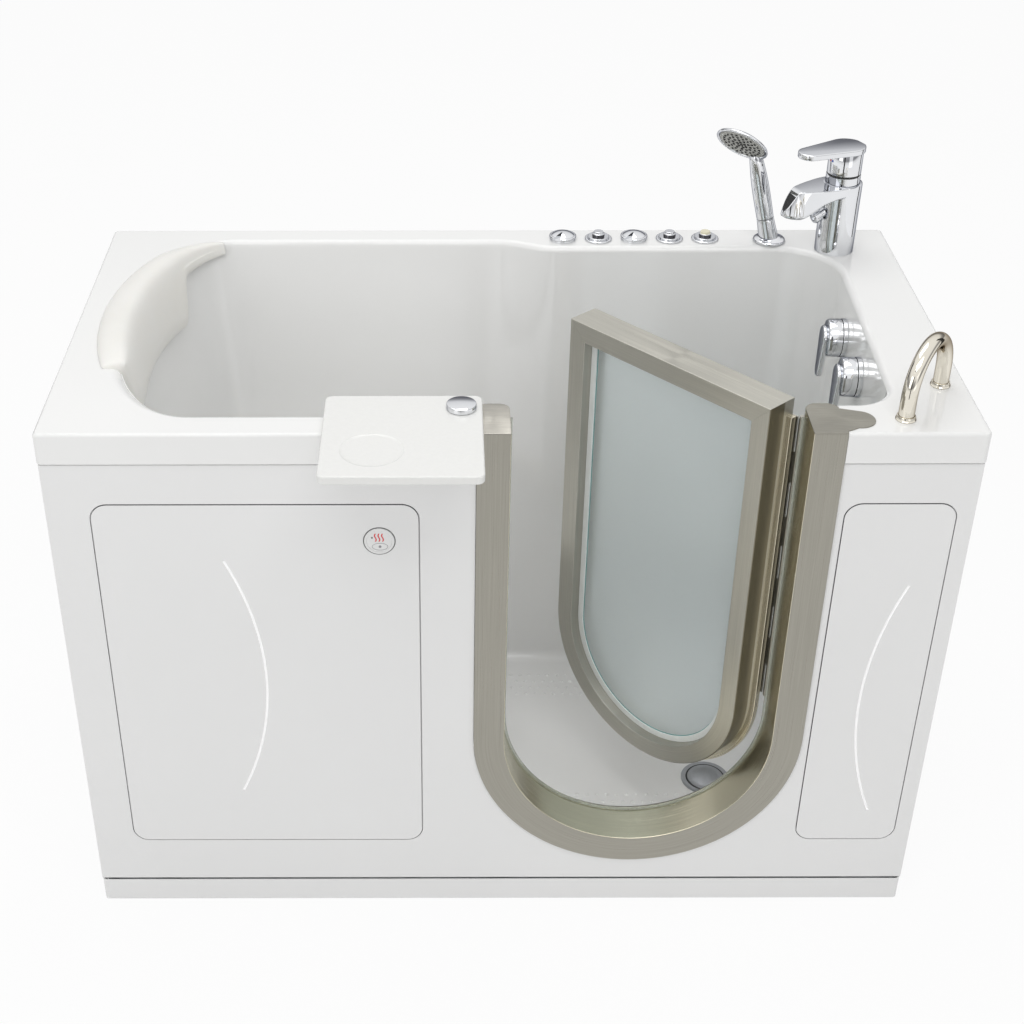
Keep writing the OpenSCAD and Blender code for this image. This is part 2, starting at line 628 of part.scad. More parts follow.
module jamb_cap_right() color("darkkhaki") translate([0, 0, tub_h]) linear_extrude(cap_t) {
    jamb_leg(jamb_right_x - jamb_w, jamb_right_x);
    translate(lobe) circle(lobe_r);
    polygon([[jamb_right_x - 20, 2], [jamb_right_x + 4, 8], [lobe.x - 4, lobe.y - lobe_r + 0.3],
        [lobe.x + 8, lobe.y + lobe_r - 1.3], [jamb_right_x - 2, 80], [jamb_right_x - 20, 90]]);
}
seal_t = 4.5;
seal_lip = 7.8;
seal_y = rear_frame_y + 4 - 0.3 - seal_t;
flange_y = rear_frame_y + 4;
module jamb_seal() color("honeydew") u_sweep(tub_h - 14) translate([inner_half - seal_lip, seal_y])
    square([seal_lip, seal_t]);

hinge_top = tub_h - 30;
hinge_bottom = arc_z + 20;
knuckle_h = (hinge_top - hinge_bottom) / knuckles;
knuckle_gap = 0.4;
leaf_t = 3;
pin_clear = 0.05;
leaf_w = 38;

module knuckle_set(first) difference() {
    for (i = [first:2:knuckles - 1]) translate([hinge_x, hinge_y, hinge_bottom + i * knuckle_h])
        cylinder(r = knuckle_r, h = knuckle_h - knuckle_gap);
    translate([hinge_x, hinge_y, hinge_bottom - 5])
        cylinder(r = hinge_pin_r + pin_clear, h = hinge_top - hinge_bottom + 10);
}
// The plate of a leaf, notched round the other leaf's knuckles and the pin
module leaf_plate(x0, x1, y, first) difference() {
    box(x0, y, hinge_bottom, x1, y + leaf_t, hinge_top - knuckle_gap);
    for (i = [first:2:knuckles - 1])
        box(hinge_x - knuckle_r - 2, y - 1, hinge_bottom + i * knuckle_h - 2,
            hinge_x + knuckle_r + 2, y + leaf_t + 1, hinge_bottom + (i + 1) * knuckle_h + 2 - knuckle_gap);
    translate([hinge_x, hinge_y, hinge_bottom - 5]) cylinder(r = hinge_pin_r + 1, h = hinge_top);
}
module hinge_leaf_jamb() color("silver") union() {
    knuckle_set(0);
    leaf_plate(hinge_x + 3, hinge_x + leaf_w, jamb_back_y, 1);
}
module hinge_pin() color("gray") translate([hinge_x, hinge_y, 0]) {
    translate([0, 0, hinge_bottom - 3]) cylinder(r = hinge_pin_r, h = hinge_top - hinge_bottom + 3);
    for (z = [hinge_bottom - 3, hinge_top - knuckle_gap])
        translate([0, 0, z]) cylinder(r = knuckle_r - 1, h = 3);
}

// ---- door, drawn closed and turned by on_door
module door_ring(h0, h1, y, t, top) difference() {
    upright(y, t) u_outline(h1, top);
    upright(y - e, t + 2 * e) u_outline(h0, top - (h1 - h0));
}
module door_front_frame() color("darkkhaki") on_door() {
    door_ring(face_half, door_half, front_frame_y, glass_y - front_frame_y, door_top_z);
    door_ring(glass_half + 1, door_half, glass_y, gasket_y - glass_y, door_top_z);
    // skin that runs back over the rubber
    door_ring(door_half - gasket_lip, door_half, gasket_y, door_gasket_t, door_top_z);
}
module glazing_strip() color("white") on_door()
    door_ring(face_half - bead_w, face_half - 0.2, glass_y - 4, 4, door_top_z - door_face_w - 0.2);
module door_glass() color("lightblue") on_door()
    upright(glass_y, glass_t) u_outline(glass_half, door_top_z - (door_half - glass_half));
module door_gasket() color("dimgray") on_door()
    door_ring(glass_half + 2, gasket_half, gasket_y, door_gasket_t, door_top_z - (door_half - gasket_half));
module door_rear_frame() color("tan") on_door() difference() {
    union() {
        upright(rear_frame_y, door_rear_t) u_outline(door_half, door_top_z);
        upright(glass_y + glass_t, rear_frame_y - glass_y - glass_t)
            u_outline(glass_half, door_top_z - (door_half - glass_half));
        upright(flange_y, flange_t) u_outline(door_half + flange_w, door_top_z - 27);
    }
    upright(glass_y, door_back_y) u_outline(face_half, door_top_z - door_face_w);
}
module hinge_leaf_door() color("silver") on_door() union() {
    knuckle_set(1);
    leaf_plate(hinge_x - leaf_w - 12, hinge_x - 3, door_back_y, 0);
}

// ---- tray
tray_x0 = post_pos.x - 220;
tray_z = door_top_z + 2;
cup_pos = [tray_x0 + 81, -80];
module tray_post() color("silver") {
    translate([0, 0, tub_h]) linear_extrude(tray_z - tub_h - 0.3)
        round_rect(post_pos.x - 13, post_stud_y - 9, post_pos.x + 13, post_pos.y + 11, 6);
    translate([post_pos.x, post_pos.y, tub_h + 1])
        cylinder(r = post_r, h = tray_z - tub_h - 1 + tray_t - 0.3);
    translate([post_pos.x, post_stud_y, 0]) {
        translate([0, 0, deck_under - 12]) cylinder(r = stud_r, h = shell_t + 13);
        translate([0, 0, deck_under - 6]) cylinder(r = 9, h = 6);
    }
}
module tray() color("ivory") difference() {
    translate([0, 0, tray_z]) linear_extrude(tray_t)
        round_rect(tray_x0, -tray_front, tray_x0 + tray_w, tray_w - tray_front, tray_r);
    translate([post_pos.x, post_pos.y, tray_z - e]) cylinder(r = post_r + pin_clear, h = tray_t + 2 * e);
    translate([cup_pos.x, cup_pos.y, tray_z + tray_t - 4]) cylinder(r1 = cup_r - 3, r2 = cup_r, h = 4.1);
}
module tray_knob() color("silver") translate([post_pos.x, post_pos.y, tray_z + tray_t]) {
    cylinder(r = 24, h = 6);
    translate([0, 0, 6]) cylinder(r1 = 20, r2 = 18, h = 4);
}

// ---- neck pillow: a crowned roll over the rounded seat end with a pad hanging inside
pillow_n = 24;                 // rings along the roll
pillow_a = [-37, 70];          // where it starts and ends round the seat end, in degrees
pillow_drop = 120;             // how far the pad hangs below the deck at its middle
pillow_lift = 0.3;             // clearance over the deck
pillow_shown = [[15, 1], [15.5, 7], [13, 13], [6, 17.5], [-4, 18], [-15, 14], [-23, 5], [-27, -9]];
pillow_pad = [[-29, 0.25], [-29, 0.5], [-27, 0.75], [-21, 0.94], [-12, 1]];
pillow_back = [[-4, 0.97], [-2.5, 0.7], [-2.5, 0.45], [-2.5, 0.3]];
pillow_foot = [[-2.5, -basin_edge_r - 2], [1, -6], [6, -0.5], [11, pillow_lift]];
// The point off outside the basin's wall at height z, a degrees round the seat end
function bowl_point(a, off, z, zz) = let (s = off > 0 ? off * bowl_stretch : off,
        cx = left_at(z) + bowl_x_at(z), cy = (front_at(z) + back_at(z) + back_step_at(z)) / 2)
    [cx - (bowl_x_at(z) + s) * cos(a), cy + (bowl_y_at(z) + off) * sin(a), zz];
function pillow_ring(t) = let (
        a = mix(pillow_a[0], pillow_a[1], t),
        full = sqrt(1 - 0.96 * pow(abs(2 * t - 1), 6)),
        drop = pillow_drop * mix(0.55, 1, full),
        thin = function(off) off < -2.5 ? mix(-4, off, full) : off)
    concat(
        [for (p = pillow_shown) bowl_point(a, thin(p[0]), tub_h + min(0, p[1]),
            tub_h + (p[1] > 1 ? mix(1.5, p[1], full) : p[1]))],
        [for (p = pillow_pad) bowl_point(a, thin(p[0]), tub_h - drop * p[1], tub_h - drop * p[1])],
        [for (p = pillow_back) bowl_point(a, p[0], tub_h - drop * p[1], tub_h - drop * p[1])],
        [for (p = pillow_foot) bowl_point(a, p[0], tub_h, tub_h + p[1])]);
module neck_pillow() color("linen") loft([for (i = [0:pillow_n]) pillow_ring(i / pillow_n)]);

// ---- deck controls: 0 and 2 turn, the other three are pressed
knob_i = [0, 2];
button_i = [1, 3, 4];
flange_h = 4;
spindle_r = 6;
button_r = 12;
module control_flanges() color("silver") for (i = [0:4]) translate([control_x[i], control_y, tub_h]) {
    turned = i == knob_i[0] || i == knob_i[1];
    if (turned) {
        cylinder(r = control_r - 2, h = flange_h);
        translate([0, 0, flange_h]) cylinder(r = spindle_r, h = 8);
        translate([0, 0, -shell_t - 6]) cylinder(r = tail_r, h = shell_t + 6);
    } else difference() {
        union() {
            rotate_extrude() {
                square([control_r - 2, flange_h]);
                translate([control_r - 2, 2]) circle(2, $fn = 24);
                square([20, 8]);
                translate([19, 0]) square([2, 7]);
            }
            translate([0, 0, -shell_t - 6]) cylinder(r = tail_r, h = shell_t + 6);
        }
        translate([0, 0, -6]) cylinder(r = button_r + pin_clear, h = 26);
    }
}
module deck_valves() color("gray") for (x = control_x) translate([x, control_y, 0]) {
    translate([0, 0, deck_under - 6]) difference() {
        cylinder(r = 21, h = 6);
        translate([0, 0, -1]) cylinder(r = tail_r + pin_clear, h = 8);
    }
    translate([0, 0, deck_under - 46]) cylinder(r = 18, h = 40);
}
// A low dome with a wedge-shaped notch for the finger
knob_h = 13;
module knob() difference() {
    rotate_extrude() {
        square([control_r - 3, 4]);
        translate([control_r - 3, 3]) circle(3, $fn = 24);
        intersection() {
            translate([0, knob_h - 38]) circle(38, $fn = 128);
            square([control_r - 2, knob_h]);
        }
    }
    translate([0, 0, -1]) cylinder(r = spindle_r + pin_clear, h = 9.1);
    translate([-3, -6, 7.5]) rotate([14, 0, -32]) linear_extrude(12)
        polygon([[0, 4], [-13, -34], [13, -34]]);
}
module place_control(i, up) translate([control_x[i], control_y, tub_h + up]) children();
module diverter_knob_1() color("silver") place_control(knob_i[0], flange_h) knob();
module diverter_knob_2() color("silver") place_control(knob_i[1], flange_h) knob();
module button() {
    translate([0, 0, -2]) cylinder(r = button_r, h = 14);
    translate([0, 0, 12]) cylinder(r1 = button_r - 2, r2 = button_r - 3, h = 4);
}
module push_button_1() color("silver") place_control(button_i[0], 1) button();
module push_button_2() color("silver") place_control(button_i[1], 1) button();
module push_button_3() color("gold") place_control(button_i[2], 1) button();

// ---- hand shower
lean = 13.9;
seam_h = 50;
module on_shower() translate([shower_pos.x - seam_h * tan(lean), shower_pos.y, tub_h + seam_h])
    rotate([0, -lean, 0]) children();
spigot_r = 9;
spigot_h = 28;
handle_h = 116;
grip_r = 16.4;
grip_top_r = 13.5;
head_centre = [shower_pos.x - 75, shower_pos.y - 17, tub_h + 201];
head_dir = [-0.448, -0.563, -0.694];
module shower_holder() color("silver") difference() {
    union() {
        translate([shower_pos.x, shower_pos.y, tub_h]) {
            rotate_extrude() {
                square([27, 8]);
                translate([27, 4]) circle(4, $fn = 24);
                square([22, 11]);
            }
            translate([0, 0, -shell_t - 20]) cylinder(r = hose_tail_r, h = shell_t + 20);
            translate([0, 0, -shell_t - 7]) cylinder(r = hose_tail_r + 2, h = 7);
        }
        on_shower() translate([0, 0, 6 - seam_h / cos(lean)])
            cylinder(r1 = 19, r2 = grip_r, h = seam_h / cos(lean) - 6);
    }
    on_shower() translate([0, 0, -spigot_h - 1]) cylinder(r = spigot_r + pin_clear, h = spigot_h + 2);
}
head_h = 19;                   // thickness of the head at its middle
head_dome_r = 80;
head_edge_r = 3;
face_room = 3;                 // depth of the recess for the spray face
face_r = head_r - 6.5;
module on_head() aim(head_centre, -head_dir) children();
module hand_shower() color("silver") difference() {
    union() {
        on_shower() {
            translate([0, 0, -spigot_h]) cylinder(r = spigot_r, h = spigot_h + 1);
            cylinder(r1 = grip_r, r2 = grip_top_r, h = handle_h);
            translate([0, 0, handle_h]) sphere(grip_top_r);
        }
        on_head() rotate_extrude($fn = 96) {
            square([head_r - head_edge_r, 2 * head_edge_r]);
            translate([head_r - head_edge_r, head_edge_r]) circle(head_edge_r, $fn = 24);
            intersection() {
                translate([0, head_h - head_dome_r]) circle(head_dome_r, $fn = 180);
                square([head_r - 4, head_h]);
            }
        }
    }
    // recess for the spray face, open towards the front
    on_head() translate([0, 0, -2 * grip_top_r]) cylinder(r = face_r + 0.5, h = 2 * grip_top_r + face_room);
}
module shower_face() color("dimgray") on_head()
    translate([0, 0, 0.4]) cylinder(r = face_r, h = face_room - 0.4);

// ---- tap
spout_turn = 25;               // the spout's heading, in degrees from -X towards -Y
spout_z = 138;                 // height of the spout's flat top above the deck
hub_z = 157;
hub_h = 42;
lever_t = 11;
tap_flare = 0.9;               // how much wider the body is at the spout's top
collar_r = 32.5;
handle_r = 35;                 // round of the lever over the tap's body
handle_back = 33;              // how far the lever reaches behind the body's middle
handle_tip_r = 14;
handle_reach = 92;             // from the body's middle to the middle of the lever's tip
neck_r = 8;
neck_h = 14;
neck_pin_r = 4;
diverter_r = 11;
module on_neck() translate([30, 0, 84]) rotate([0, 112, 0]) children();
// Sections along the spout: reach, bottom, top, half-width at the top and at the bottom
spout_sections = [[-6, 118, 138, 36, 35], [24, 117, 138, 36, 35], [60, 108, 138, 30, 32],
    [85, 92, 138, 23, 28], [100, 86, 138, 17, 26], [105, 85, 137, 14, 24],
    [116, 86, 124, 12, 20], [126, 88, 108, 8, 14], [130, 90, 102, 4, 8]];
// A rounded section across the heading, counter-clockwise seen from the tip
function section(s, k = 3) = let (zb = s[1], zt = s[2], wt = s[3], wb = s[4], c = min(k, wt / 2))
    [for (p = [[wb, zb + c], [wt, zt - c], [wt - c, zt], [c - wt, zt], [-wt, zt - c], [-wb, zb + c],
        [c - wb, zb], [wb - c, zb]]) [s[0], p[0], p[1]]];
module on_tap() translate([tap_pos.x, tap_pos.y, tub_h]) rotate([0, 0, 180 + spout_turn]) children();
module tap_body() color("silver") on_tap() {
    cylinder(r1 = tap_r, r2 = tap_r + tap_flare, h = spout_z);
    translate([0, 0, spout_z - 2]) cylinder(r = collar_r, h = hub_z - spout_z - 1);
    translate([0, 0, hub_z - 4]) cylinder(r = collar_r - 1.5, h = 4);
    loft([for (s = spout_sections) section(s)]);
    translate([0, 0, -shell_t - 36]) cylinder(r = tap_shank_r, h = shell_t + 37);
    // neck that the diverter knob turns on
    on_neck() {
        cylinder(r = neck_r, h = neck_h);
        cylinder(r = neck_pin_r, h = neck_h + 10);
    }
}
module tap_diverter() color("silver") on_tap() on_neck() translate([0, 0, neck_h + 0.2]) difference() {
    union() {
        cylinder(r = diverter_r, h = 14);
        translate([0, 0, 14]) cylinder(r1 = diverter_r, r2 = diverter_r - 2, h = 3);
    }
    translate([0, 0, -1]) cylinder(r = neck_pin_r + pin_clear, h = 13);
}
module tap_hub() color("silver") on_tap() translate([0, 0, hub_z]) {
    translate([0, 0, 0.2]) cylinder(r = collar_r - 0.5, h = hub_h - 0.2);
}
// Points along a round about [x, 0], from one angle to another
function arc_points(x, r, a0, a1, n = 20) =
    [for (i = [0:n]) let (a = mix(a0, a1, i / n)) [x + r * cos(a), r * sin(a)]];
module tap_lever() color("silver") on_tap() translate([0, 0, hub_z + hub_h + 0.1]) {
    side = acos((handle_r - handle_tip_r) / handle_reach);   // where the straight sides touch
    back = acos(-handle_back / handle_r);
    linear_extrude(lever_t) polygon(concat(arc_points(0, handle_r, -back, -side),
        arc_points(handle_reach, handle_tip_r, -side, side), arc_points(0, handle_r, side, back)));
}
module tap_tails() color("gray") on_tap() {
    translate([0, 0, -shell_t - 12]) difference() {
        cylinder(r = 24, h = 12, $fn = 96);
        translate([0, 0, -1]) cylinder(r = tap_shank_r, h = 14);
    }
    for (s = [-1, 1]) translate([0, 13 * s, 0]) {
        translate([0, 0, -150]) cylinder(r = 6, h = 150 - shell_t - 36);
        translate([0, 0, -168]) cylinder(r = inlet_r, h = 20);
    }
}

// ---- grab bar
module on_bar() translate([bar_front.x, bar_front.y, tub_h]) rotate([0, 0, bar_angle]) children();
bar_flange_h = 8;
bar_flange_w = 2.2;            // wall of the flange round the tube
bar_seat_h = 4;                // height of the tube's end above the deck
bar_foot_r = 1.5;              // round of the flange's foot
module grab_bar() color("tan") on_bar() {
    for (x = [0, bar_span]) translate([x, 0, bar_seat_h]) cylinder(r = bar_r, h = bar_leg - bar_seat_h);
    translate([bar_span / 2, 0, bar_leg]) rotate([90, 0, 0])
        rotate_extrude(angle = 180, $fn = 96) translate([bar_span / 2, 0]) circle(bar_r);
}
module grab_bar_flanges() color("tan") for (p = [bar_front, bar_back]) translate([p.x, p.y, tub_h]) {
    difference() {
        rotate_extrude() {
            square([bar_r + bar_flange_w, bar_flange_h]);
            translate([bar_r + bar_flange_w, bar_foot_r]) circle(bar_foot_r, $fn = 24);
        }
        translate([0, 0, bar_seat_h]) cylinder(r = bar_r + pin_clear, h = bar_flange_h);
    }
    translate([0, 0, -shell_t - 16]) cylinder(r = stud_r, h = shell_t + 16);
    translate([0, 0, -shell_t - 7]) cylinder(r = 9, h = 7);
}

// ---- drain levers on the tap-end wall
plate_t = 12;                  // thickness of a lever's plate
plate_r = 13;                  // radius of its round ends
body_len = 36;
lever_base_h = 8;
lever_spindle_r = 8;
module lever_escutcheons() color("silver") for (i = [0, 1]) on_lever(i) {
    cylinder(r = lever_body_r, h = lever_base_h);
    translate([0, 0, lever_base_h]) cylinder(r = lever_spindle_r, h = 20);
    translate([0, 0, -26]) cylinder(r = lever_stem_r, h = 27);
    translate([0, 0, -shell_t - 8]) cylinder(r = 18, h = 6);
}
// Drawn with its own Z out of the wall and its X down
module drain_lever(i) on_lever(i) translate([0, 0, lever_base_h + 0.2]) difference() {
    union() {
        cylinder(r = lever_body_r - 1, h = body_len);
        translate([0, 0, body_len]) linear_extrude(plate_t) {
            circle(plate_r);
            translate([0, -plate_r]) square([lever_reach, 2 * plate_r]);
            translate([lever_reach, 0]) circle(plate_r);
        }
    }
    translate([0, 0, -1]) cylinder(r = lever_spindle_r + pin_clear, h = 22);
}
module drain_lever_front() color("silver") drain_lever(0);
module drain_lever_back() color("silver") drain_lever(1);

// ---- drains and waste pipe
plug_r = drain_r - 13.5;
plug_stem_r = 4;
seat_h = 1.5;
module drain_flanges() color("silver") for (d = [drain_front, drain_back]) translate([d.x, d.y, well_z])
    difference() {
        union() {
            rotate_extrude() {
                square([drain_r - 1, 2]);
                translate([0, 2]) square([drain_r - 3, 1]);
            }
            translate([0, 0, -shell_t - 5]) cylinder(r = throat_r, h = shell_t + 6);
        }
        translate([0, 0, seat_h]) cylinder(r = plug_r + 1.5, h = 3);
        // openings between the four arms that guide the plug's stem
        translate([0, 0, -shell_t - 6]) difference() {
            cylinder(r = throat_r - 2.5, h = 30);
            cylinder(r = 7, h = 31);
            for (a = [0, 90]) rotate([0, 0, a]) translate([-throat_r, -2, 6]) cube([2 * throat_r, 4, 26]);
        }
        translate([0, 0, -20]) cylinder(r = plug_stem_r + pin_clear, h = 30);
    }
module plug(d) translate([d.x, d.y, well_z + seat_h + 0.1]) {
    rotate_extrude($fn = 96) {
        square([plug_r - 1, 3]);
        translate([plug_r - 1.5, 1.5]) circle(1.5, $fn = 24);
        intersection() {
            translate([0, 5.5 - 180]) circle(180, $fn = 360);
            square([plug_r - 3, 6]);
        }
    }
    translate([0, 0, -14]) cylinder(r = plug_stem_r, h = 15);
}
module drain_plug_front() color("silver") plug(drain_front);
module drain_plug_back() color("silver") plug(drain_back);

pipe_z = 22;
waste_end_x = tap_end - 47;
sump_top = well_z - shell_t - 0.2;
sump_z = 5;
waste_spigot = 40;
// The pipe between the drains and the one to the outlet
module pipes(r, past) translate([drain_front.x, drain_front.y, pipe_z]) {
    rotate([-90, 0, 0]) cylinder(r = r, h = drain_pitch);
    rotate([0, 90, 0]) cylinder(r = r, h = waste_end_x - drain_front.x + past);
}
module waste_pipe() color("whitesmoke") difference() {
    union() {
        for (d = [drain_front, drain_back])
            translate([d.x, d.y, sump_z]) cylinder(r = throat_r + 4, h = sump_top - sump_z);
        pipes(waste_r - 1, 0);
        // spigot that the house's waste pipe is clamped on
        translate([waste_end_x - waste_spigot, drain_front.y, pipe_z]) rotate([0, 90, 0])
            cylinder(r = waste_r, h = waste_spigot);
    }
    for (d = [drain_front, drain_back])
        translate([d.x, d.y, sump_z + 3]) cylinder(r = throat_r + pin_clear, h = sump_top);
    pipes(waste_r - 4, 1);
}

// ---- every piece, with the origin under the middle of the whole row's bounding box
module placed() translate([0, -box_mid_y, 0]) children();
placed() tub_shell();
placed() front_skirt();
placed() left_access_panel();
placed() right_access_panel();
placed() kick_rail();
placed() left_end_panel();
placed() right_end_panel();
placed() base_frame();
placed() frame_posts();
placed() deck_rails();
placed() seat_frame();
placed() levelling_feet();
placed() equipment_shelf();
placed() air_blower();
placed() control_box();
placed() door_jamb();
placed() jamb_cap_left();
placed() jamb_cap_right();
placed() jamb_seal();
placed() hinge_leaf_jamb();
placed() hinge_pin();
placed() door_front_frame();
placed() door_rear_frame();
placed() door_gasket();
placed() door_glass();
placed() glazing_strip();
placed() hinge_leaf_door();
placed() tray_post();
placed() tray();
placed() tray_knob();
placed() neck_pillow();
placed() control_flanges();
placed() deck_valves();
placed() diverter_knob_1();
placed() diverter_knob_2();
placed() push_button_1();
placed() push_button_2();
placed() push_button_3();
placed() shower_holder();
placed() hand_shower();
placed() shower_face();
placed() tap_body();
placed() tap_tails();
placed() tap_diverter();
placed() tap_hub();
placed() tap_lever();
placed() grab_bar();
placed() grab_bar_flanges();
placed() lever_escutcheons();
placed() drain_lever_front();
placed() drain_lever_back();
placed() drain_flanges();
placed() drain_plug_front();
placed() drain_plug_back();
placed() waste_pipe();
placed() heat_button_bezel();
placed() heat_button();
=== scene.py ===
"""Walk-in bathtub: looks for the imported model. Metres; +X to the tap end, +Y to the back, +Z up."""
import bmesh
import bpy
import json
from math import acos, atan2, cos, hypot, pi, radians, sin, sqrt, tan
from mathutils import Matrix, Vector


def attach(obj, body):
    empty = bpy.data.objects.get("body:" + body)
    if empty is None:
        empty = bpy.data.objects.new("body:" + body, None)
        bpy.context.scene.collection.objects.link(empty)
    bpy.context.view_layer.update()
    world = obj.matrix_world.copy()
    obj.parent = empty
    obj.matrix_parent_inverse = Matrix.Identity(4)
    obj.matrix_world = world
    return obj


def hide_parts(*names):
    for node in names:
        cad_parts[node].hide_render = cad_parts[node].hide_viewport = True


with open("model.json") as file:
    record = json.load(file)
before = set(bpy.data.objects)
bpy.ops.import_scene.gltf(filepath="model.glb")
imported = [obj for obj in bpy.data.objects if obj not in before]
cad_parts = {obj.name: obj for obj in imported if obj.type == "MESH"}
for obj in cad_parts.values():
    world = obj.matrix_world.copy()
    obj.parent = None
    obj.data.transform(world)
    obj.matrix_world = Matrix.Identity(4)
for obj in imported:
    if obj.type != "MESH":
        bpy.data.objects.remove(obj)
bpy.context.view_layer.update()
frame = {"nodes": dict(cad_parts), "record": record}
CAD = frame["nodes"]
BODY_OF = {n: b for b, ns in frame["record"]["behaviour"]["bodies"].items() for n in ns}
SLOT_OF = {s["node"]: s["material_slot"] for s in frame["record"]["subparts"]}

# ---- sizes of the tub, in millimetres from its own front face
MID_Y = 326.5
TUB_W, TUB_D, TUB_H, RIM_H, SHELL_T = 1524, 813, 1027, 55, 7
HALF_W = TUB_W / 2
OPEN_X, INNER, OUTER, ARC_Z = 238.5, 239.5, 294.5, 397
JAMB_Y0, JAMB_Y1 = -1, 97
DOOR_HALF, FACE_HALF, DOOR_TOP = 225.5, 189.5, 1029
FRAME_Y = (38, 76, 101)  # the door's front, the joint between its two frames, and its back
SEAL_Y = 76.2
MITRE_GAP = 0.15
HINGE = (483, 104.5)
DOOR_OPEN = 48
WELL_Z, SEAT_Z = 50, 430
UP = (0, 0, 1)


def pt(x, y, z):
    """A point of the tub, in millimetres, as a point of the row frame in metres."""
    return Vector((x / 1000, (y - MID_Y) / 1000, z / 1000))


def added(name, data):
    """A new object of the scene."""
    o = bpy.data.objects.new(name, data)
    bpy.context.scene.collection.objects.link(o)
    return o


# ---- camera, at the photograph's angle
PHOTO = 1024
FOCAL_PX, CENTRE_X, CENTRE_Y = 1668.71, 443.44, 530.84
PITCH, ROLL = 33.321, -0.09
camera = added("camera", bpy.data.cameras.new("camera"))
camera.data.sensor_width = 36
camera.data.lens = FOCAL_PX * 36 / PHOTO
camera.data.shift_x = (PHOTO / 2 - CENTRE_X) / PHOTO
camera.data.shift_y = (CENTRE_Y - PHOTO / 2) / PHOTO
camera.data.clip_end = 100
camera.matrix_world = (Matrix.Translation((-0.10916, -2.61538, 2.34924))
                       @ Matrix.Rotation(radians(90 - PITCH), 4, "X")
                       @ Matrix.Rotation(radians(ROLL), 4, "Z"))
bpy.context.scene.camera = camera


# ---- materials
MAT = {}


def new_material(name):
    MAT[name] = bpy.data.materials.new(name)
    MAT[name].use_nodes = True
    return MAT[name].node_tree


def feed(n, values):
    """Sets a node's inputs; a value that is another node's output is linked."""
    for k, v in values.items():
        if isinstance(v, bpy.types.NodeSocket):
            n.id_data.links.new(v, n.inputs[k])
        else:
            n.inputs[k].default_value = v


def node(nt, kind, values=(), **props):
    n = nt.nodes.new(kind)
    for k, v in props.items():
        setattr(n, k, v)
    feed(n, dict(values))
    return n


def surface(nt, values):
    feed(nt.nodes["Principled BSDF"], values)


def arith(nt, operation, *values):
    return node(nt, "ShaderNodeMath", enumerate(values), operation=operation).outputs[0]


def coordinates(nt, scale=(1, 1, 1), use_uv=False):
    source = node(nt, "ShaderNodeTexCoord").outputs["UV" if use_uv else "Object"]
    return node(nt, "ShaderNodeMapping", {"Vector": source, "Scale": scale}).outputs["Vector"]


def noise(nt, vector, scale, detail=4, rough=0.55):
    values = {"Vector": vector, "Scale": scale, "Detail": detail, "Roughness": rough}
    return node(nt, "ShaderNodeTexNoise", values).outputs["Fac"]


def ramp(nt, fac, stops):
    n = node(nt, "ShaderNodeValToRGB", {"Fac": fac})
    while len(n.color_ramp.elements) < len(stops):
        n.color_ramp.elements.new(0.5)
    for e, (p, c) in zip(n.color_ramp.elements, stops):
        e.position = p
        e.color = (*c, 1)
    return n.outputs["Color"]


def spread(nt, fac, lo, hi, a=0.3, b=0.7):
    """Takes fac from a to b over to lo to hi."""
    values = {"Value": fac, "From Min": a, "From Max": b, "To Min": lo, "To Max": hi}
    return node(nt, "ShaderNodeMapRange", values).outputs["Result"]


def bump(nt, height, strength, distance):
    values = {"Height": height, "Strength": strength, "Distance": distance}
    return node(nt, "ShaderNodeBump", values).outputs["Normal"]


def tint(c, k):
    return tuple(min(1, v * k) for v in c)


def finish(name, color, rough, metallic=0.0, vary=0.03, grain=(1, 1, 1), scale=60, rough_vary=0.04,
           relief=0.0, relief_strength=0.2, sockets=()):
    """A procedural finish: noise along the grain moves its colour, roughness and surface a little."""
    nt = new_material(name)
    f = noise(nt, coordinates(nt, grain), scale)
    surface(nt, {"Base Color": ramp(nt, f, [(0.3, tint(color, 1 - vary)), (0.7, tint(color, 1 + vary))]),
                 "Roughness": spread(nt, f, rough - rough_vary, rough + rough_vary),
                 "Metallic": metallic, **dict(sockets)})
    if relief:
        surface(nt, {"Normal": bump(nt, f, relief_strength, relief)})


def acrylic(name, color, rough=0.09):
    """Glossy sanitary acrylic: a faint orange peel under a clear coat, and a slow change of tone."""
    nt = new_material(name)
    v = coordinates(nt)
    slow = noise(nt, v, 2.2, 2)
    peel = noise(nt, v, 140, 2)
    surface(nt, {"Base Color": ramp(nt, slow, [(0.3, tint(color, 0.985)), (0.7, tint(color, 1.01))]),
                 "Roughness": spread(nt, slow, rough, rough + 0.03), "Normal": bump(nt, peel, 0.05, 0.0004),
                 "IOR": 1.49, "Coat Weight": 0.25, "Coat Roughness": 0.04})


def brushed(name, color, rough=0.3, use_uv=True, along=(9, 2400, 1), strength=0.12):
    """Brushed stainless steel: long fine scratches along the U coordinate, or along the given axis."""
    nt = new_material(name)
    fine = noise(nt, coordinates(nt, along, use_uv), 1.0, 6, 0.7)
    wide = (along[0] * 0.4, along[1] * 0.16, along[2])
    streak = noise(nt, coordinates(nt, wide, use_uv), 1.0, 4, 0.7)
    slow = noise(nt, coordinates(nt), 5, 2)
    both = arith(nt, "MULTIPLY_ADD", fine, 0.4, arith(nt, "MULTIPLY", streak, 0.6))
    tones = [(0.3, tint(color, 0.84)), (0.5, color), (0.7, tint(color, 1.16))]
    slow_rough = spread(nt, slow, rough - 0.03, rough + 0.04)
    surface(nt, {"Base Color": ramp(nt, both, tones),
                 "Roughness": arith(nt, "ADD", spread(nt, streak, -0.05, 0.06), slow_rough),
                 "Normal": bump(nt, fine, strength, 0.0003), "Metallic": 1.0, "Anisotropic": 0.5})


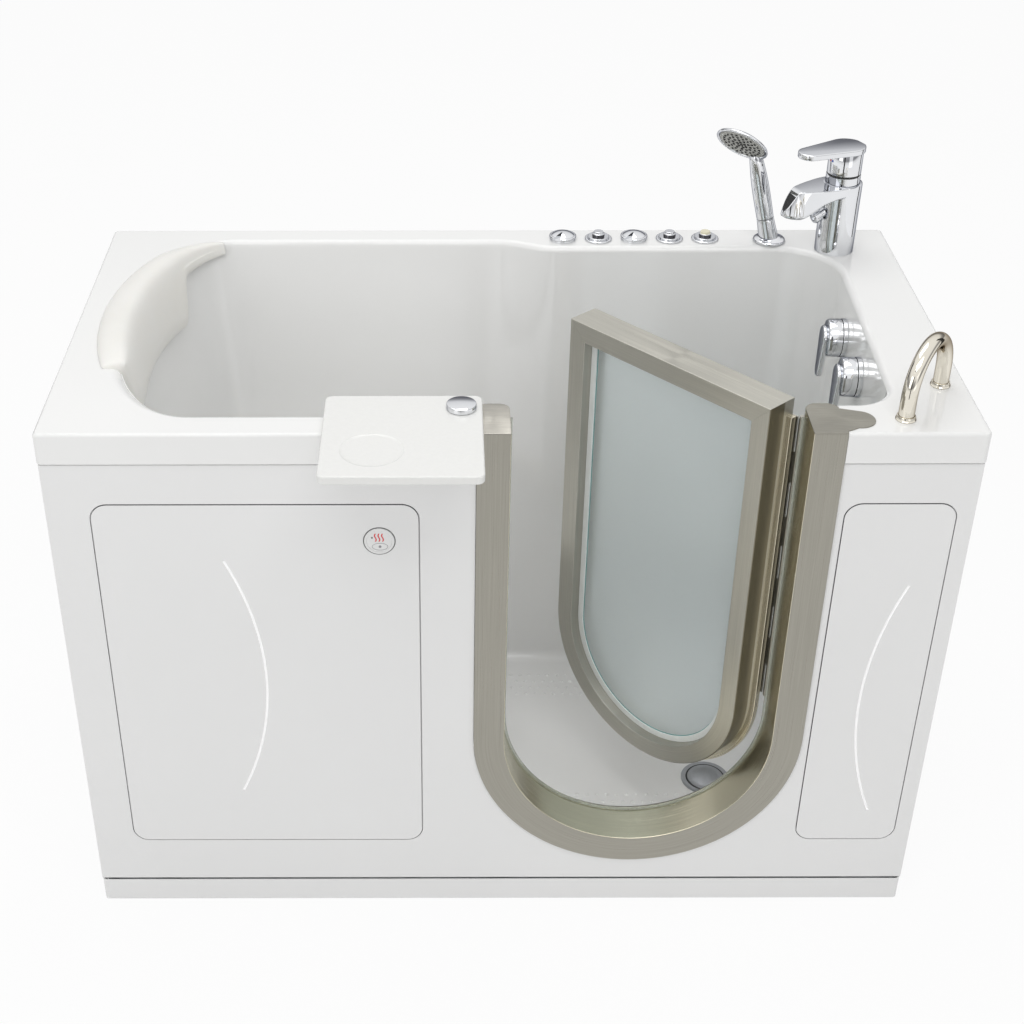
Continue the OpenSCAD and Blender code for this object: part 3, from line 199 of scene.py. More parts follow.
def frosted_glass():
    """Frosted glass that lets less light through towards the bottom, so that it looks lighter there: painted
    light.
    """
    nt = new_material("frosted_glass")
    v = coordinates(nt)
    slow = noise(nt, v, 3, 2)
    fine = noise(nt, v, 900, 2)
    height = node(nt, "ShaderNodeSeparateXYZ", {0: v}).outputs["Z"]
    surface(nt, {"Base Color": ramp(nt, slow, [(0.3, (0.86, 0.92, 0.93)), (0.7, (0.90, 0.96, 0.965))]),
                 "Roughness": spread(nt, fine, 0.3, 0.38), "Normal": bump(nt, fine, 0.15, 0.0002),
                 "Transmission Weight": spread(nt, height, 0.5, 0.8, 0.15, 0.62),
                 "IOR": 1.3, "Coat Weight": 0.3, "Coat Roughness": 0.08})


def pillow_skin():
    """Soft moulded polyurethane: a fine leather-like grain and a matt sheen."""
    nt = new_material("pillow_skin")
    v = coordinates(nt)
    grain = node(nt, "ShaderNodeTexVoronoi", {"Vector": v, "Scale": 620}, feature="SMOOTH_F1")
    slow = noise(nt, v, 9, 3)
    surface(nt, {"Base Color": ramp(nt, slow, [(0.3, (0.875, 0.86, 0.815)), (0.7, (0.905, 0.895, 0.86))]),
                 "Roughness": spread(nt, slow, 0.34, 0.44),
                 "Normal": bump(nt, grain.outputs["Distance"], 0.16, 0.0006), "Sheen Weight": 0.12,
                 "Subsurface Weight": 0.05, "Subsurface Radius": (0.01, 0.008, 0.006)})


STEEL = (0.352, 0.338, 0.295)
FLAT_GRAIN = (60, 1600, 60)  # brushing along X, for flat caps without a UV map
acrylic("white_acrylic", (0.90, 0.90, 0.89))
acrylic("white_panel", (0.86, 0.86, 0.855), 0.13)
brushed("brushed_stainless", STEEL)
brushed("brushed_top", tint(STEEL, 0.94), 0.36, False, FLAT_GRAIN, 0.1)
brushed("brushed_door", (0.50, 0.488, 0.438), 0.38)
# a lighter, golden copy of the jamb's steel for its faces towards the door: painted reflection
brushed("bright_steel", (0.70, 0.66, 0.52), 0.2)
brushed("flank_steel", (0.25, 0.232, 0.18), 0.4)
# a lighter copy of the caps' steel for the left jamb cap: painted reflection
brushed("cap_steel", (0.52, 0.50, 0.45), 0.36, False, FLAT_GRAIN, 0.1)
# a lighter, warmer copy of the door's steel for the closing flange: painted reflection
brushed("flange_steel", (0.74, 0.69, 0.56), 0.26)
finish("satin_steel", (0.50, 0.50, 0.50), 0.3, 1.0, 0.06, (30, 30, 600), 1, relief=0.0002)
finish("chrome", (0.80, 0.81, 0.83), 0.045, 1.0, 0.02, scale=25, rough_vary=0.015,
       sockets={"Specular Tint": (0.25, 0.26, 0.30, 1)})
finish("warm_nickel", (0.80, 0.76, 0.67), 0.06, 1.0, 0.02, scale=25, rough_vary=0.02,
       sockets={"Specular Tint": (0.30, 0.26, 0.22, 1)})
# plain ones: colour, roughness, how much the tone changes, how fine the grain is and its relief
for name, color, rough, vary, scale, relief in (
        ("white_strip", (0.80, 0.83, 0.82), 0.4, 0.02, 90, 0),
        ("door_rubber", (0.06, 0.055, 0.045), 0.6, 0.15, 300, 0.0003),
        ("foot_plastic", (0.035, 0.035, 0.037), 0.45, 0.15, 250, 0.0002),
        ("blower_plastic", (0.045, 0.045, 0.05), 0.42, 0.15, 400, 0.0003),
        ("box_plastic", (0.62, 0.62, 0.60), 0.42, 0.03, 400, 0.0002),
        ("pipe_plastic", (0.74, 0.74, 0.73), 0.32, 0.02, 140, 0.0001),
        ("nozzle_rubber", (0.42, 0.42, 0.39), 0.4, 0.06, 300, 0.0002),
        ("nozzle_dark", (0.012, 0.012, 0.012), 0.5, 0.2, 400, 0),
        ("pale_cap", (0.78, 0.74, 0.55), 0.16, 0.03, 120, 0),
        ("glass_edge", (0.10, 0.33, 0.33), 0.15, 0.1, 80, 0),
        ("red_mark", (0.74, 0.035, 0.035), 0.4, 0.05, 200, 0),
        ("grey_mark", (0.30, 0.30, 0.31), 0.4, 0.05, 200, 0),
        ("blue_mark", (0.06, 0.12, 0.55), 0.35, 0.05, 200, 0),
        # near-black for the access panels' edge faces: painted shade of the gap round them
        ("panel_edge", (0.17, 0.17, 0.18), 0.5, 0.08, 200, 0),
        ("ring_grey", (0.12, 0.12, 0.12), 0.35, 0.1, 200, 0),
        ("dark_line", (0.02, 0.02, 0.02), 0.4, 0.2, 200, 0)):
    finish(name, color, rough, vary=vary, scale=scale, relief=relief)
finish("clear_seal", (0.70, 0.73, 0.68), 0.16, vary=0.03, scale=120,
       sockets={"Transmission Weight": 0.75, "IOR": 1.2})
finish("frame_steel", (0.50, 0.52, 0.54), 0.38, 0.9, 0.09, scale=45, rough_vary=0.08, relief=0.0003)
finish("shelf_metal", (0.55, 0.56, 0.57), 0.4, 0.85, 0.06, scale=35, relief=0.0002)
finish("tray_plastic", (0.84, 0.84, 0.82), 0.2, vary=0.012, scale=160, relief=0.0002, relief_strength=0.1)
finish("brass", (0.62, 0.46, 0.20), 0.28, 1.0, 0.08, scale=90, relief=0.0002)
finish("drain_steel", (0.40, 0.41, 0.43), 0.32, 1.0, 0.05, (90, 30, 60), 1, relief=0.0001)
# near-black chrome for the knobs' scoops and the buttons' lower parts: painted shade
finish("painted_shade_chrome", (0.13, 0.13, 0.135), 0.12, 1.0, 0.1, scale=120)
# white with a faint glow for the panels' arc line: painted highlight
finish("arc_painted_highlight", (0.97, 0.97, 0.97), 0.3, vary=0.01, scale=90,
       sockets={"Emission Color": (1, 1, 1, 1), "Emission Strength": 0.1})
frosted_glass()
pillow_skin()


# ---- mesh helpers
def link(name, mesh, mats):
    o = added(name, mesh)
    for m in mats:
        o.data.materials.append(MAT[m])
    return o


SHARP = 32  # edges that turn by more than this many degrees stay sharp


def smooth(o, angle=SHARP):
    o.data.shade_smooth()
    o.data.set_sharp_from_angle(angle=radians(angle))


def weighted(o):
    m = o.modifiers.new("weighted", "WEIGHTED_NORMAL")
    m.keep_sharp = True
    m.mode = "FACE_AREA"


def bake(o):
    """Applies the object's modifiers to its mesh."""
    dg = bpy.context.evaluated_depsgraph_get()
    mesh = bpy.data.meshes.new_from_object(o.evaluated_get(dg), preserve_all_data_layers=True, depsgraph=dg)
    o.modifiers.clear()
    o.data = mesh
    return o


def finished(o):
    """Weighted normals, and all modifiers applied."""
    weighted(o)
    return bake(o)


def put(o, body, slot, *stands_for):
    """Registers a piece: the nodes it stands for and the body it rides on. Its slot is not used."""
    if stands_for:
        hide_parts(*stands_for)
    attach(o, body)
    return o


def stand_in(o, node):
    """Registers a piece that replaces one CAD node, with that node's own body."""
    return put(o, BODY_OF[node], SLOT_OF[node], node)


def outward(mesh, clean=False):
    """Turns the faces outward; clean first welds the points and joins the flat faces of a CAD mesh."""
    b = bmesh.new()
    b.from_mesh(mesh)
    if clean:
        bmesh.ops.remove_doubles(b, verts=b.verts, dist=2e-6)
        bmesh.ops.dissolve_limit(b, angle_limit=radians(0.6), verts=b.verts, edges=b.edges)
    bmesh.ops.recalc_face_normals(b, faces=b.faces)
    b.to_mesh(mesh)
    b.free()


def from_data(name, verts, faces, mat, uvs=None, angle=SHARP):
    """An object of the points and faces, in a material or in several of a list."""
    mesh = bpy.data.meshes.new(name)
    mesh.from_pydata([tuple(v) for v in verts], [], faces)
    if uvs is not None:
        layer = mesh.uv_layers.new(name="UVMap")
        for poly, corner_uvs in zip(mesh.polygons, uvs):
            for li, uv in zip(poly.loop_indices, corner_uvs):
                layer.data[li].uv = uv
    mesh.validate()
    outward(mesh)
    o = link(name, mesh, [mat] if isinstance(mat, str) else mat)
    smooth(o, angle)
    return o


def loft(rings, caps=True, wrap=False):
    """Points and quads through rings of equal length; wrap joins the last ring to the first."""
    n, m = len(rings[0]), len(rings)
    verts = [v for r in rings for v in r]
    faces = []
    for i in range(m if wrap else m - 1):
        for j in range(n):
            a, b = i * n, (i + 1) % m * n
            faces.append((a + j, a + (j + 1) % n, b + (j + 1) % n, b + j))
    if caps and not wrap:
        last = (m - 1) * n
        faces += [tuple(reversed(range(n))), tuple(range(last, last + n))]
    return verts, faces


def circle(r, z, n):
    turn = [2 * pi * i / n for i in range(n)]
    return [Vector((r * cos(t), r * sin(t), z)) for t in turn]


def revolve(profile, n=96, wrap=False):
    """Rings round Z through (radius, height) points; the ends are capped, or joined with wrap."""
    return loft([circle(r, z, n) for r, z in profile], wrap=wrap)


def turned(name, profile, place, mat, n=96, angle=SHARP, wrap=False):
    """A turned piece, its (radius, height) profile drawn in millimetres and stood by the matrix place."""
    v, f = revolve(profile, n, wrap)
    return from_data(name, moved(v, place), f, mat, angle=angle)


def rounded(points, radius, steps=4):
    """A closed outline with its corners rounded; a point may carry its own radius as a third value."""
    out = []
    k = len(points)
    for i, p in enumerate(points):
        r = p[2] if len(p) > 2 else radius
        c, a, b = Vector(p[:2]), Vector(points[i - 1][:2]), Vector(points[(i + 1) % k][:2])
        u, v = (a - c), (b - c)
        half = u.angle(v) / 2
        reach = min(r / tan(half), u.length * 0.49, v.length * 0.49) if half > 0.01 else 0
        if r <= 0 or half > pi / 2 - 0.02:
            out.append(c)
            continue
        s, t = c + u.normalized() * reach, c + v.normalized() * reach
        for q in range(steps + 1):
            f = q / steps
            out.append((s * (1 - f) ** 2 + c * 2 * f * (1 - f) + t * f ** 2))
    return [(p.x, p.y) for p in out]


def round_rect(x0, y0, x1, y1, r):
    out = []
    centres = ((x1 - r, y1 - r), (x0 + r, y1 - r), (x0 + r, y0 + r), (x1 - r, y0 + r))
    for k, (cx, cy) in enumerate(centres):
        turn = [radians(90 * k + 90 * i / 10) for i in range(11)]
        out += [(cx + r * cos(a), cy + r * sin(a)) for a in turn]
    return out


def edge_levels(lo, hi, r, steps=5):
    """(inset, level) pairs of a plate with both edges rounded by r."""
    q = [pi / 2 * i / steps for i in range(steps + 1)]
    return ([(r * (1 - sin(a)), lo + r * (1 - cos(a))) for a in q]
            + [(r * (1 - cos(a)), hi - r * (1 - sin(a))) for a in q])


def plate(outline_at, lo, hi, r, place, steps=5):
    """A plate with rounded edges: outline_at(inset) is its outline and place(a, b, level) a point."""
    return loft([[place(a, b, level) for a, b in outline_at(inset)]
                 for inset, level in edge_levels(lo, hi, r, steps)])


def stood(x, y, z):
    """The move that takes a piece drawn at the origin to a point of the tub."""
    return Matrix.Translation(pt(x, y, z))


def aimed(p, v):
    """The turn and move that takes a piece drawn along Z to p, pointing the way v points."""
    v = Vector(v).normalized()
    tilt = Matrix.Rotation(atan2(v.y, v.x), 4, "Z") @ Matrix.Rotation(acos(v.z), 4, "Y")
    return Matrix.Translation(p) @ tilt


def moved(verts, matrix):
    """Points drawn in millimetres, placed by a matrix in metres."""
    return [matrix @ (Vector(v) * 0.001) for v in verts]


def on_door(v):
    """Turns a point of the closed door to where the door stands."""
    h = pt(*HINGE, 0)
    return h + Matrix.Rotation(radians(-DOOR_OPEN), 3, "Z") @ (Vector(v) - h)


def dressed(n, bevel, mat=None):
    """A smooth-shaded copy of a CAD node with edges softened by bevel, which stands for the node."""
    mesh = CAD[n].data.copy()
    mesh.materials.clear()
    outward(mesh, clean=True)
    if mesh.has_custom_normals:
        mesh.normals_split_custom_set([(0, 0, 0)] * len(mesh.loops))
    o = link(n + "_look", mesh, [mat or SLOT_OF[n]])
    smooth(o)
    m = o.modifiers.new("bevel", "BEVEL")
    m.width = bevel / 1000
    m.segments = 3
    m.limit_method = "ANGLE"
    m.angle_limit = radians(SHARP)
    finished(o)
    return stand_in(o, n)


def recolour(o, mat, test):
    """Gives another material to the faces whose centre and normal pass the test, in millimetres."""
    o.data.materials.append(MAT[mat])
    for face in o.data.polygons:
        c = face.center * 1000
        if test(Vector((c.x, c.y + MID_Y, c.z)), face.normal):
            face.material_index = len(o.data.materials) - 1


# ---- moulded shell, on the same stretches as the solid but finer
def hermite(z, table):
    """A smooth curve through a table that keeps its rises and falls."""
    if z <= table[0][0]:
        return table[0][1]
    if z >= table[-1][0]:
        return table[-1][1]
    k = len(table)
    h = [table[i + 1][0] - table[i][0] for i in range(k - 1)]
    d = [(table[i + 1][1] - table[i][1]) / h[i] for i in range(k - 1)]
    m = [d[0]] + [0 if d[i - 1] * d[i] <= 0 else 3 * (h[i - 1] + h[i]) / (
        (2 * h[i] + h[i - 1]) / d[i - 1] + (h[i] + 2 * h[i - 1]) / d[i]) for i in range(1, k - 1)] + [d[-1]]
    i = max(j for j in range(k - 1) if table[j][0] <= z)
    t = (z - table[i][0]) / h[i]
    return ((2 * t ** 3 - 3 * t ** 2 + 1) * table[i][1] + (t ** 3 - 2 * t ** 2 + t) * h[i] * m[i]
            + (3 * t ** 2 - 2 * t ** 3) * table[i + 1][1] + (t ** 3 - t ** 2) * h[i] * m[i + 1])


def mix(a, b, t):
    return a + (b - a) * t


def ease(t):
    t = min(1, max(0, t))
    return t * t * (3 - 2 * t)


FILLET, EDGE_R, BOWL_EDGE = 25, 12, 30  # radii of the floor, the basin's edge and the seat end's edge
BOWL_STRETCH = BOWL_EDGE / EDGE_R
RIM_EDGE, RIM_CORNER = 6, 10
BOWL_LEFT = -HALF_W + 52 + BOWL_EDGE
BACKREST = BOWL_LEFT + 78
SEAT_FRONT = OPEN_X - INNER - 59
BASIN_RIGHT, BASIN_BACK, BASIN_FRONT = HALF_W - 113 - EDGE_R, TUB_D - 78 - EDGE_R, 53 + EDGE_R
DRAFT, SKEW = 28, 22  # the walls' lean from floor to deck, and the tap-end wall's turn
FRONT_LEAN, FRONT_STEP, BACK_STEP_D = 27, 36, 32
STEP_HALF, BACK_STEP_X = 90, 109  # half the front S-curve's length, and where the back one starts
CORNER_FRONT, CORNER_BACK = 65, 118
LEFT = [(WELL_Z, SEAT_FRONT + 30), (SEAT_Z - 35, SEAT_FRONT), (SEAT_Z - 18, SEAT_FRONT - 6),
        (SEAT_Z - 6, SEAT_FRONT - 20), (SEAT_Z - 3, SEAT_FRONT - 38), (SEAT_Z, mix(SEAT_FRONT, BACKREST, 0.5)),
        (SEAT_Z + 3, BACKREST + 57), (SEAT_Z + 6, BACKREST + 27), (SEAT_Z + 15, BACKREST + 10),
        (SEAT_Z + 40, BACKREST), (TUB_H - 150, mix(BOWL_LEFT, BACKREST, 0.3)), (TUB_H, BOWL_LEFT)]
FRONT = [(TUB_H - 327, 1), (TUB_H - 177, 0.74), (TUB_H - 77, 0.33), (TUB_H, 0)]
STEP = [(TUB_H - 327, 0.25), (TUB_H - 177, 0.45), (TUB_H - 77, 0.75), (TUB_H, 1)]
BACK_STEP = [(TUB_H - 260, 0), (TUB_H - 150, 0.3), (TUB_H, 1)]
BOWL_X = [(SEAT_Z - 3, 62), (SEAT_Z, 110), (SEAT_Z + 3, 150), (TUB_H, 161)]
BOWL_Y = [(SEAT_Z - 3, 62), (SEAT_Z, 180), (SEAT_Z + 3, 300), (SEAT_Z + 40, 400)]


def left_at(z):
    return hermite(z, LEFT)


def leaning(z, top):
    return top if z > TUB_H else top - DRAFT + DRAFT * max(0, z - WELL_Z) / (TUB_H - WELL_Z)


def front_at(z):
    return BASIN_FRONT + FRONT_LEAN * hermite(z, FRONT)


def back_at(z):
    return leaning(z, BASIN_BACK)


def right_at(z):
    return leaning(z, BASIN_RIGHT)


def back_step_at(z):
    return BACK_STEP_D * hermite(z, BACK_STEP)


def bowl_y_at(z):
    return min(hermite(z, BOWL_Y), (back_at(z) + back_step_at(z) - front_at(z)) / 2 - 8)


def outline(z, l, r, f, b, fs, bs, rx, ry, rf, rb):
    """One level of the basin or rim, from the front round by the tap end: sides l, r, f and b, a rise of fs
    along the front and bs along the back, radii rx and ry at the seat end and rf and rb at the tap end."""
    def corner(cx, cy, ax, ay, start, n):
        turn = [radians(start + 90 * i / n) for i in range(n + 1)]
        return [(cx + ax * cos(a), cy + ay * sin(a), z) for a in turn]

    def run(x0, x1, y, steps, count, rise=0):
        return [(mix(x0, x1, i / steps), y + rise * ease(i / steps), z) for i in range(1, count + 1)]

    s0, s1 = OPEN_X - STEP_HALF, OPEN_X + STEP_HALF
    sx = max(3, l + rx + 12)
    return (corner(l + rx, f + ry, rx, ry, 180, 26)
            + run(l + rx, s0, f, 6, 6) + run(s0, s1, f, 20, 20, fs) + run(s1, r - rf, f + fs, 4, 3)
            + corner(r - rf, f + fs + rf, rf, rf, 270, 14)
            + [(r, mix(f + fs + rf, b - rb, i / 5), z) for i in range(1, 5)]
            + corner(r - rb, b - rb, rb, rb, 0, 14)
            + run(r - rb, BACK_STEP_X, b, 6, 6) + run(BACK_STEP_X, sx, b, 18, 18, bs)
            + run(sx, l + rx, b + bs, 8, 7)
            + corner(l + rx, b + bs - ry, rx, ry, 90, 26))


def rim_ring(inset, z):
    r = max(1, RIM_CORNER - inset)
    return outline(z, -HALF_W + inset, HALF_W - inset, inset, TUB_D - inset, 0, 0, r, r, r, r)


def basin_ring(z, off=0, drop=0, stretch=1):
    """The basin at level z, grown by off (by off times stretch at the seat end) and drawn drop lower."""
    d = FILLET - min(FILLET, z - WELL_Z)
    o = off - (FILLET - sqrt(max(0, FILLET ** 2 - d ** 2)))
    s = o * stretch if o > 0 else o
    f, b, r = front_at(z) - o, back_at(z) + o, right_at(z) + o
    ring = outline(z - drop, left_at(z) - s, r, f, b, FRONT_STEP * hermite(z, STEP), back_step_at(z),
                   hermite(z, BOWL_X) + s, bowl_y_at(z) + o, CORNER_FRONT + o, CORNER_BACK + o)
    return [(x + SKEW * max(0, x / r) * (y - (f + b) / 2) / (b - f), y, zz) for x, y, zz in ring]


def levels(marks, between):
    """The marks with a few levels between each pair."""
    out = []
    for a, b in zip(marks, marks[1:]):
        k = max(1, min(between, int(abs(a - b) / 0.8)))
        out += [mix(a, b, i / k) for i in range(k)]
    return out + [marks[-1]]


def shell():
    """Rings from under the floor up the shell's back, over the rim and deck and down the basin."""
    def fillet(angles):
        return [WELL_Z + FILLET * (1 - sin(radians(a))) for a in angles]

    seat = [40, 15, 6, 3, 0, -3, -6, -18, -35]
    walls = levels([TUB_H] + [TUB_H - d for d in (40, 77, 150, 260, 420)] + [SEAT_Z + d for d in seat]
                   + [mix(SEAT_Z - 35, WELL_Z + FILLET, t) for t in (0.4, 0.8)]
                   + fillet(range(0, 91, 10)), 4)[1:]
    behind = levels([WELL_Z] + fillet((45, 0)) + [SEAT_Z + d for d in reversed(seat)]
                    + [TUB_H - d for d in (420, 260, 150, 40)], 2)
    rings = [basin_ring(z, SHELL_T, SHELL_T) for z in behind]
    rings += [basin_ring(TUB_H, SHELL_T + 2, SHELL_T, BOWL_STRETCH)]
    rings += [rim_ring(SHELL_T, TUB_H - SHELL_T), rim_ring(SHELL_T, TUB_H - RIM_H),
              rim_ring(0, TUB_H - RIM_H)]
    turn = [(sin(a), cos(a)) for a in map(radians, range(0, 91, 9))]
    rings += [rim_ring(RIM_EDGE * (1 - c), TUB_H - RIM_EDGE * (1 - n)) for n, c in turn]
    rings += [basin_ring(TUB_H, EDGE_R * (1 - n), EDGE_R * (1 - c), BOWL_STRETCH) for n, c in turn]
    rings += [basin_ring(z) for z in walls]
    return [[pt(*p) for p in r] for r in rings]


def u_points(h, top):
    """The outline of the opening grown to half-width h, as X and Z."""
    turn = [pi + pi * i / 72 for i in range(73)]
    return ([(OPEN_X + h, top), (OPEN_X - h, top)]
            + [(OPEN_X + h * cos(a), ARC_Z + h * sin(a)) for a in turn])


def cutter(verts, faces):
    mesh = bpy.data.meshes.new("cutter")
    mesh.from_pydata([tuple(v) for v in verts], [], faces)
    outward(mesh)
    return link("cutter", mesh, ())


def bore(p, axis, r, a=-20, b=20):
    """A cutter of radius r along the axis, from a to b millimetres past p."""
    v, f = revolve([(r, a), (r, b)], 48)
    return cutter(moved(v, aimed(p, axis)), f)


def cut(o, tools):
    for t in tools:
        m = o.modifiers.new("cut", "BOOLEAN")
        m.operation = "DIFFERENCE"
        m.solver = "MANIFOLD"
        m.object = t
    bake(o)
    for t in tools:
        bpy.data.objects.remove(t)


CONTROL_X = [HALF_W - 357 - i * 69.75 for i in (4, 3, 2, 1, 0)]
CONTROL_Y = TUB_D - 48
SHOWER = (HALF_W - 233, TUB_D - 58)
TAP = (HALF_W - 114, TUB_D - 97)
BAR = [(HALF_W - 129, 47), (HALF_W - 45, 162)]
DRAINS = [(425, 286), (425, 486)]
LEVER_Z, LEVER_Y = TUB_H - 86, (350, 505)


def lever_place(i):
    """Where drain lever i stands on the tap-end wall, and the wall's normal there."""
    f, b = front_at(LEVER_Z), back_at(LEVER_Z)
    x = right_at(LEVER_Z) + SKEW * (LEVER_Y[i] - (f + b) / 2) / (b - f)
    v = (-1, SKEW / (b - f), DRAFT / (TUB_H - WELL_Z))
    return pt(x - 0.25, LEVER_Y[i], LEVER_Z), v


def make_tub():
    v, f = loft(shell(), caps=False)
    n = len(rim_ring(0, 0))
    m = len(v) // n
    for k, order in ((0, 1), (m - 1, 0)):
        ring = [v[k * n + j] for j in range(n)]
        v.append(sum(ring, Vector()) / n)
        c = len(v) - 1
        for j in range(n):
            a, b = k * n + j, k * n + (j + 1) % n
            f.append((b, a, c) if order else (a, b, c))
    o = from_data("tub_shell_look", v, f, "white_acrylic", angle=40)
    hole = u_points(OUTER + 0.3, TUB_H + 1)
    tools = [cutter(*loft([[pt(x, y, z) for x, z in hole] for y in (-3, JAMB_Y1 + 13)]))]
    tools += [bore(pt(x, CONTROL_Y, TUB_H), UP, 14.5) for x in CONTROL_X]
    tools += [bore(pt(*SHOWER, TUB_H), UP, 12.5), bore(pt(*TAP, TUB_H), UP, 16.5)]
    tools += [bore(pt(*d, WELL_Z), UP, 21.5) for d in DRAINS]
    tools += [bore(*lever_place(i), 10.5) for i in (0, 1)]
    cut(o, tools)
    smooth(o, 40)
    stand_in(finished(o), "tub_shell")


# ---- sweeps round the U of the opening, with U along the run for the brushing
def u_run(profile, top, mitre_half=None, gap=0.0):
    """Rings of a (half-width, y) profile round the U; mitre_half cuts both ends at 45 degrees."""
    leg, mean = top - ARC_Z, sum(p[0] for p in profile) / len(profile)

    def end(h):
        return top - (mitre_half - h) - gap if mitre_half else top

    def across(side, t):
        return [pt(OPEN_X + side * h, y, mix(end(h), ARC_Z, t)) for h, y in profile]

    steps = [i / 3 for i in range(4)]
    arc = [pi * i / 60 for i in range(1, 60)]
    rings = [across(1, t) for t in steps]
    rings += [[pt(OPEN_X + h * cos(a), y, ARC_Z - h * sin(a)) for h, y in profile] for a in arc]
    rings += [across(-1, t) for t in reversed(steps)]
    run = [leg * t for t in steps] + [leg + mean * a for a in arc]
    return rings, run + [leg + mean * pi + leg - leg * t for t in reversed(steps)]


def swept(name, profile, rings, run, mat, turn=False, loose_v=0.0):
    """A solid through the rings with a UV map: U along the run and V round the profile, in metres."""
    v, f = loft(rings)
    if turn:
        v = [on_door(p) for p in v]
    n, m = len(rings[0]), len(rings)
    around = [0]
    for j in range(n):
        a, b = Vector(profile[j]), Vector(profile[(j + 1) % n])
        around.append(around[-1] + (a - b).length)

    def uv(i, j):
        return run[i] / 1000, around[j] / 1000 + loose_v

    uvs = [[uv(i, j), uv(i, j + 1), uv(i + 1, j + 1), uv(i + 1, j)] for i in range(m - 1) for j in range(n)]
    uvs += [[(x / 1000, y / 1000) for x, y in profile]] * 2
    return finished(from_data(name, v, f, mat, uvs))


def bar_run(profile, half, top, gap=0.0):
    """The top member of the door, mitred at both ends; profile is (half-width, y) as on the legs."""
    rings, run = [], []
    for s in (-1, 1):
        rings.append([pt(OPEN_X + s * (h - gap), y, top - (half - h)) for h, y in profile])
        run.append(s * half)
    return rings, run


def join(name, objs):
    """One object of several, which keeps their faces' materials and UV maps."""
    with bpy.context.temp_override(active_object=objs[0], object=objs[0], selected_objects=objs,
                                   selected_editable_objects=objs):
        bpy.ops.object.join()
    objs[0].name = name
    return objs[0]


def jamb_outline(x0, x1, inset=0):
    """The jamb's section between two half-widths, or the cap's outline on it between two sides."""
    x0, x1, y0, y1 = x0 + inset, x1 - inset, JAMB_Y0 + inset, JAMB_Y1 - inset
    return rounded([(x0, y0, 2), (x1, y0, 2), (x1, y1, 20), (x0, y1, 20)], 2, 6)


def make_jamb():
    prof = jamb_outline(INNER, OUTER)
    o = swept("door_jamb_look", prof, *u_run(prof, TUB_H), ["brushed_stainless", "bright_steel"])
    middle = pt(OPEN_X, 0, ARC_Z)
    # the faces towards the door get a lighter, warmer copy of the steel: painted reflection
    for face in o.data.polygons:
        c = face.center - middle
        if (abs(c.x) if c.z > 0 else hypot(c.x, c.z)) * 1000 < INNER + 0.9:
            face.material_index = 1
    stand_in(o, "door_jamb")
    y0, y1, lip = SEAL_Y, SEAL_Y + 3.5, INNER - 4.6
    seal = rounded([(lip, y0, 1.5), (INNER, y0, 0), (INNER, y1, 0), (lip, y1, 1.5)], 1.5, 4)
    stand_in(swept("jamb_seal_look", seal, *u_run(seal, TUB_H - 14), "clear_seal"), "jamb_seal")
    left = OPEN_X - OUTER
    v, f = plate(lambda inset: jamb_outline(left, left + OUTER - INNER, inset), TUB_H, TUB_H + 2, 0.7, pt, 3)
    # the left cap takes a lighter copy of the caps' steel: painted reflection
    stand_in(from_data("jamb_cap_left_look", v, f, "cap_steel"), "jamb_cap_left")


def framed(name, profile, half, top, gap, mat, slot, *stands_for, loose_v=0.4):
    """A closed frame of the door: the profile round the U and along the mitred top member."""
    a = swept("u", profile, *u_run(profile, top, half, gap), mat, turn=True)
    b = swept("bar", profile, *bar_run(profile, half, top, gap), mat, turn=True, loose_v=loose_v)
    return put(join(name, [a, b]), "door", slot, *stands_for)


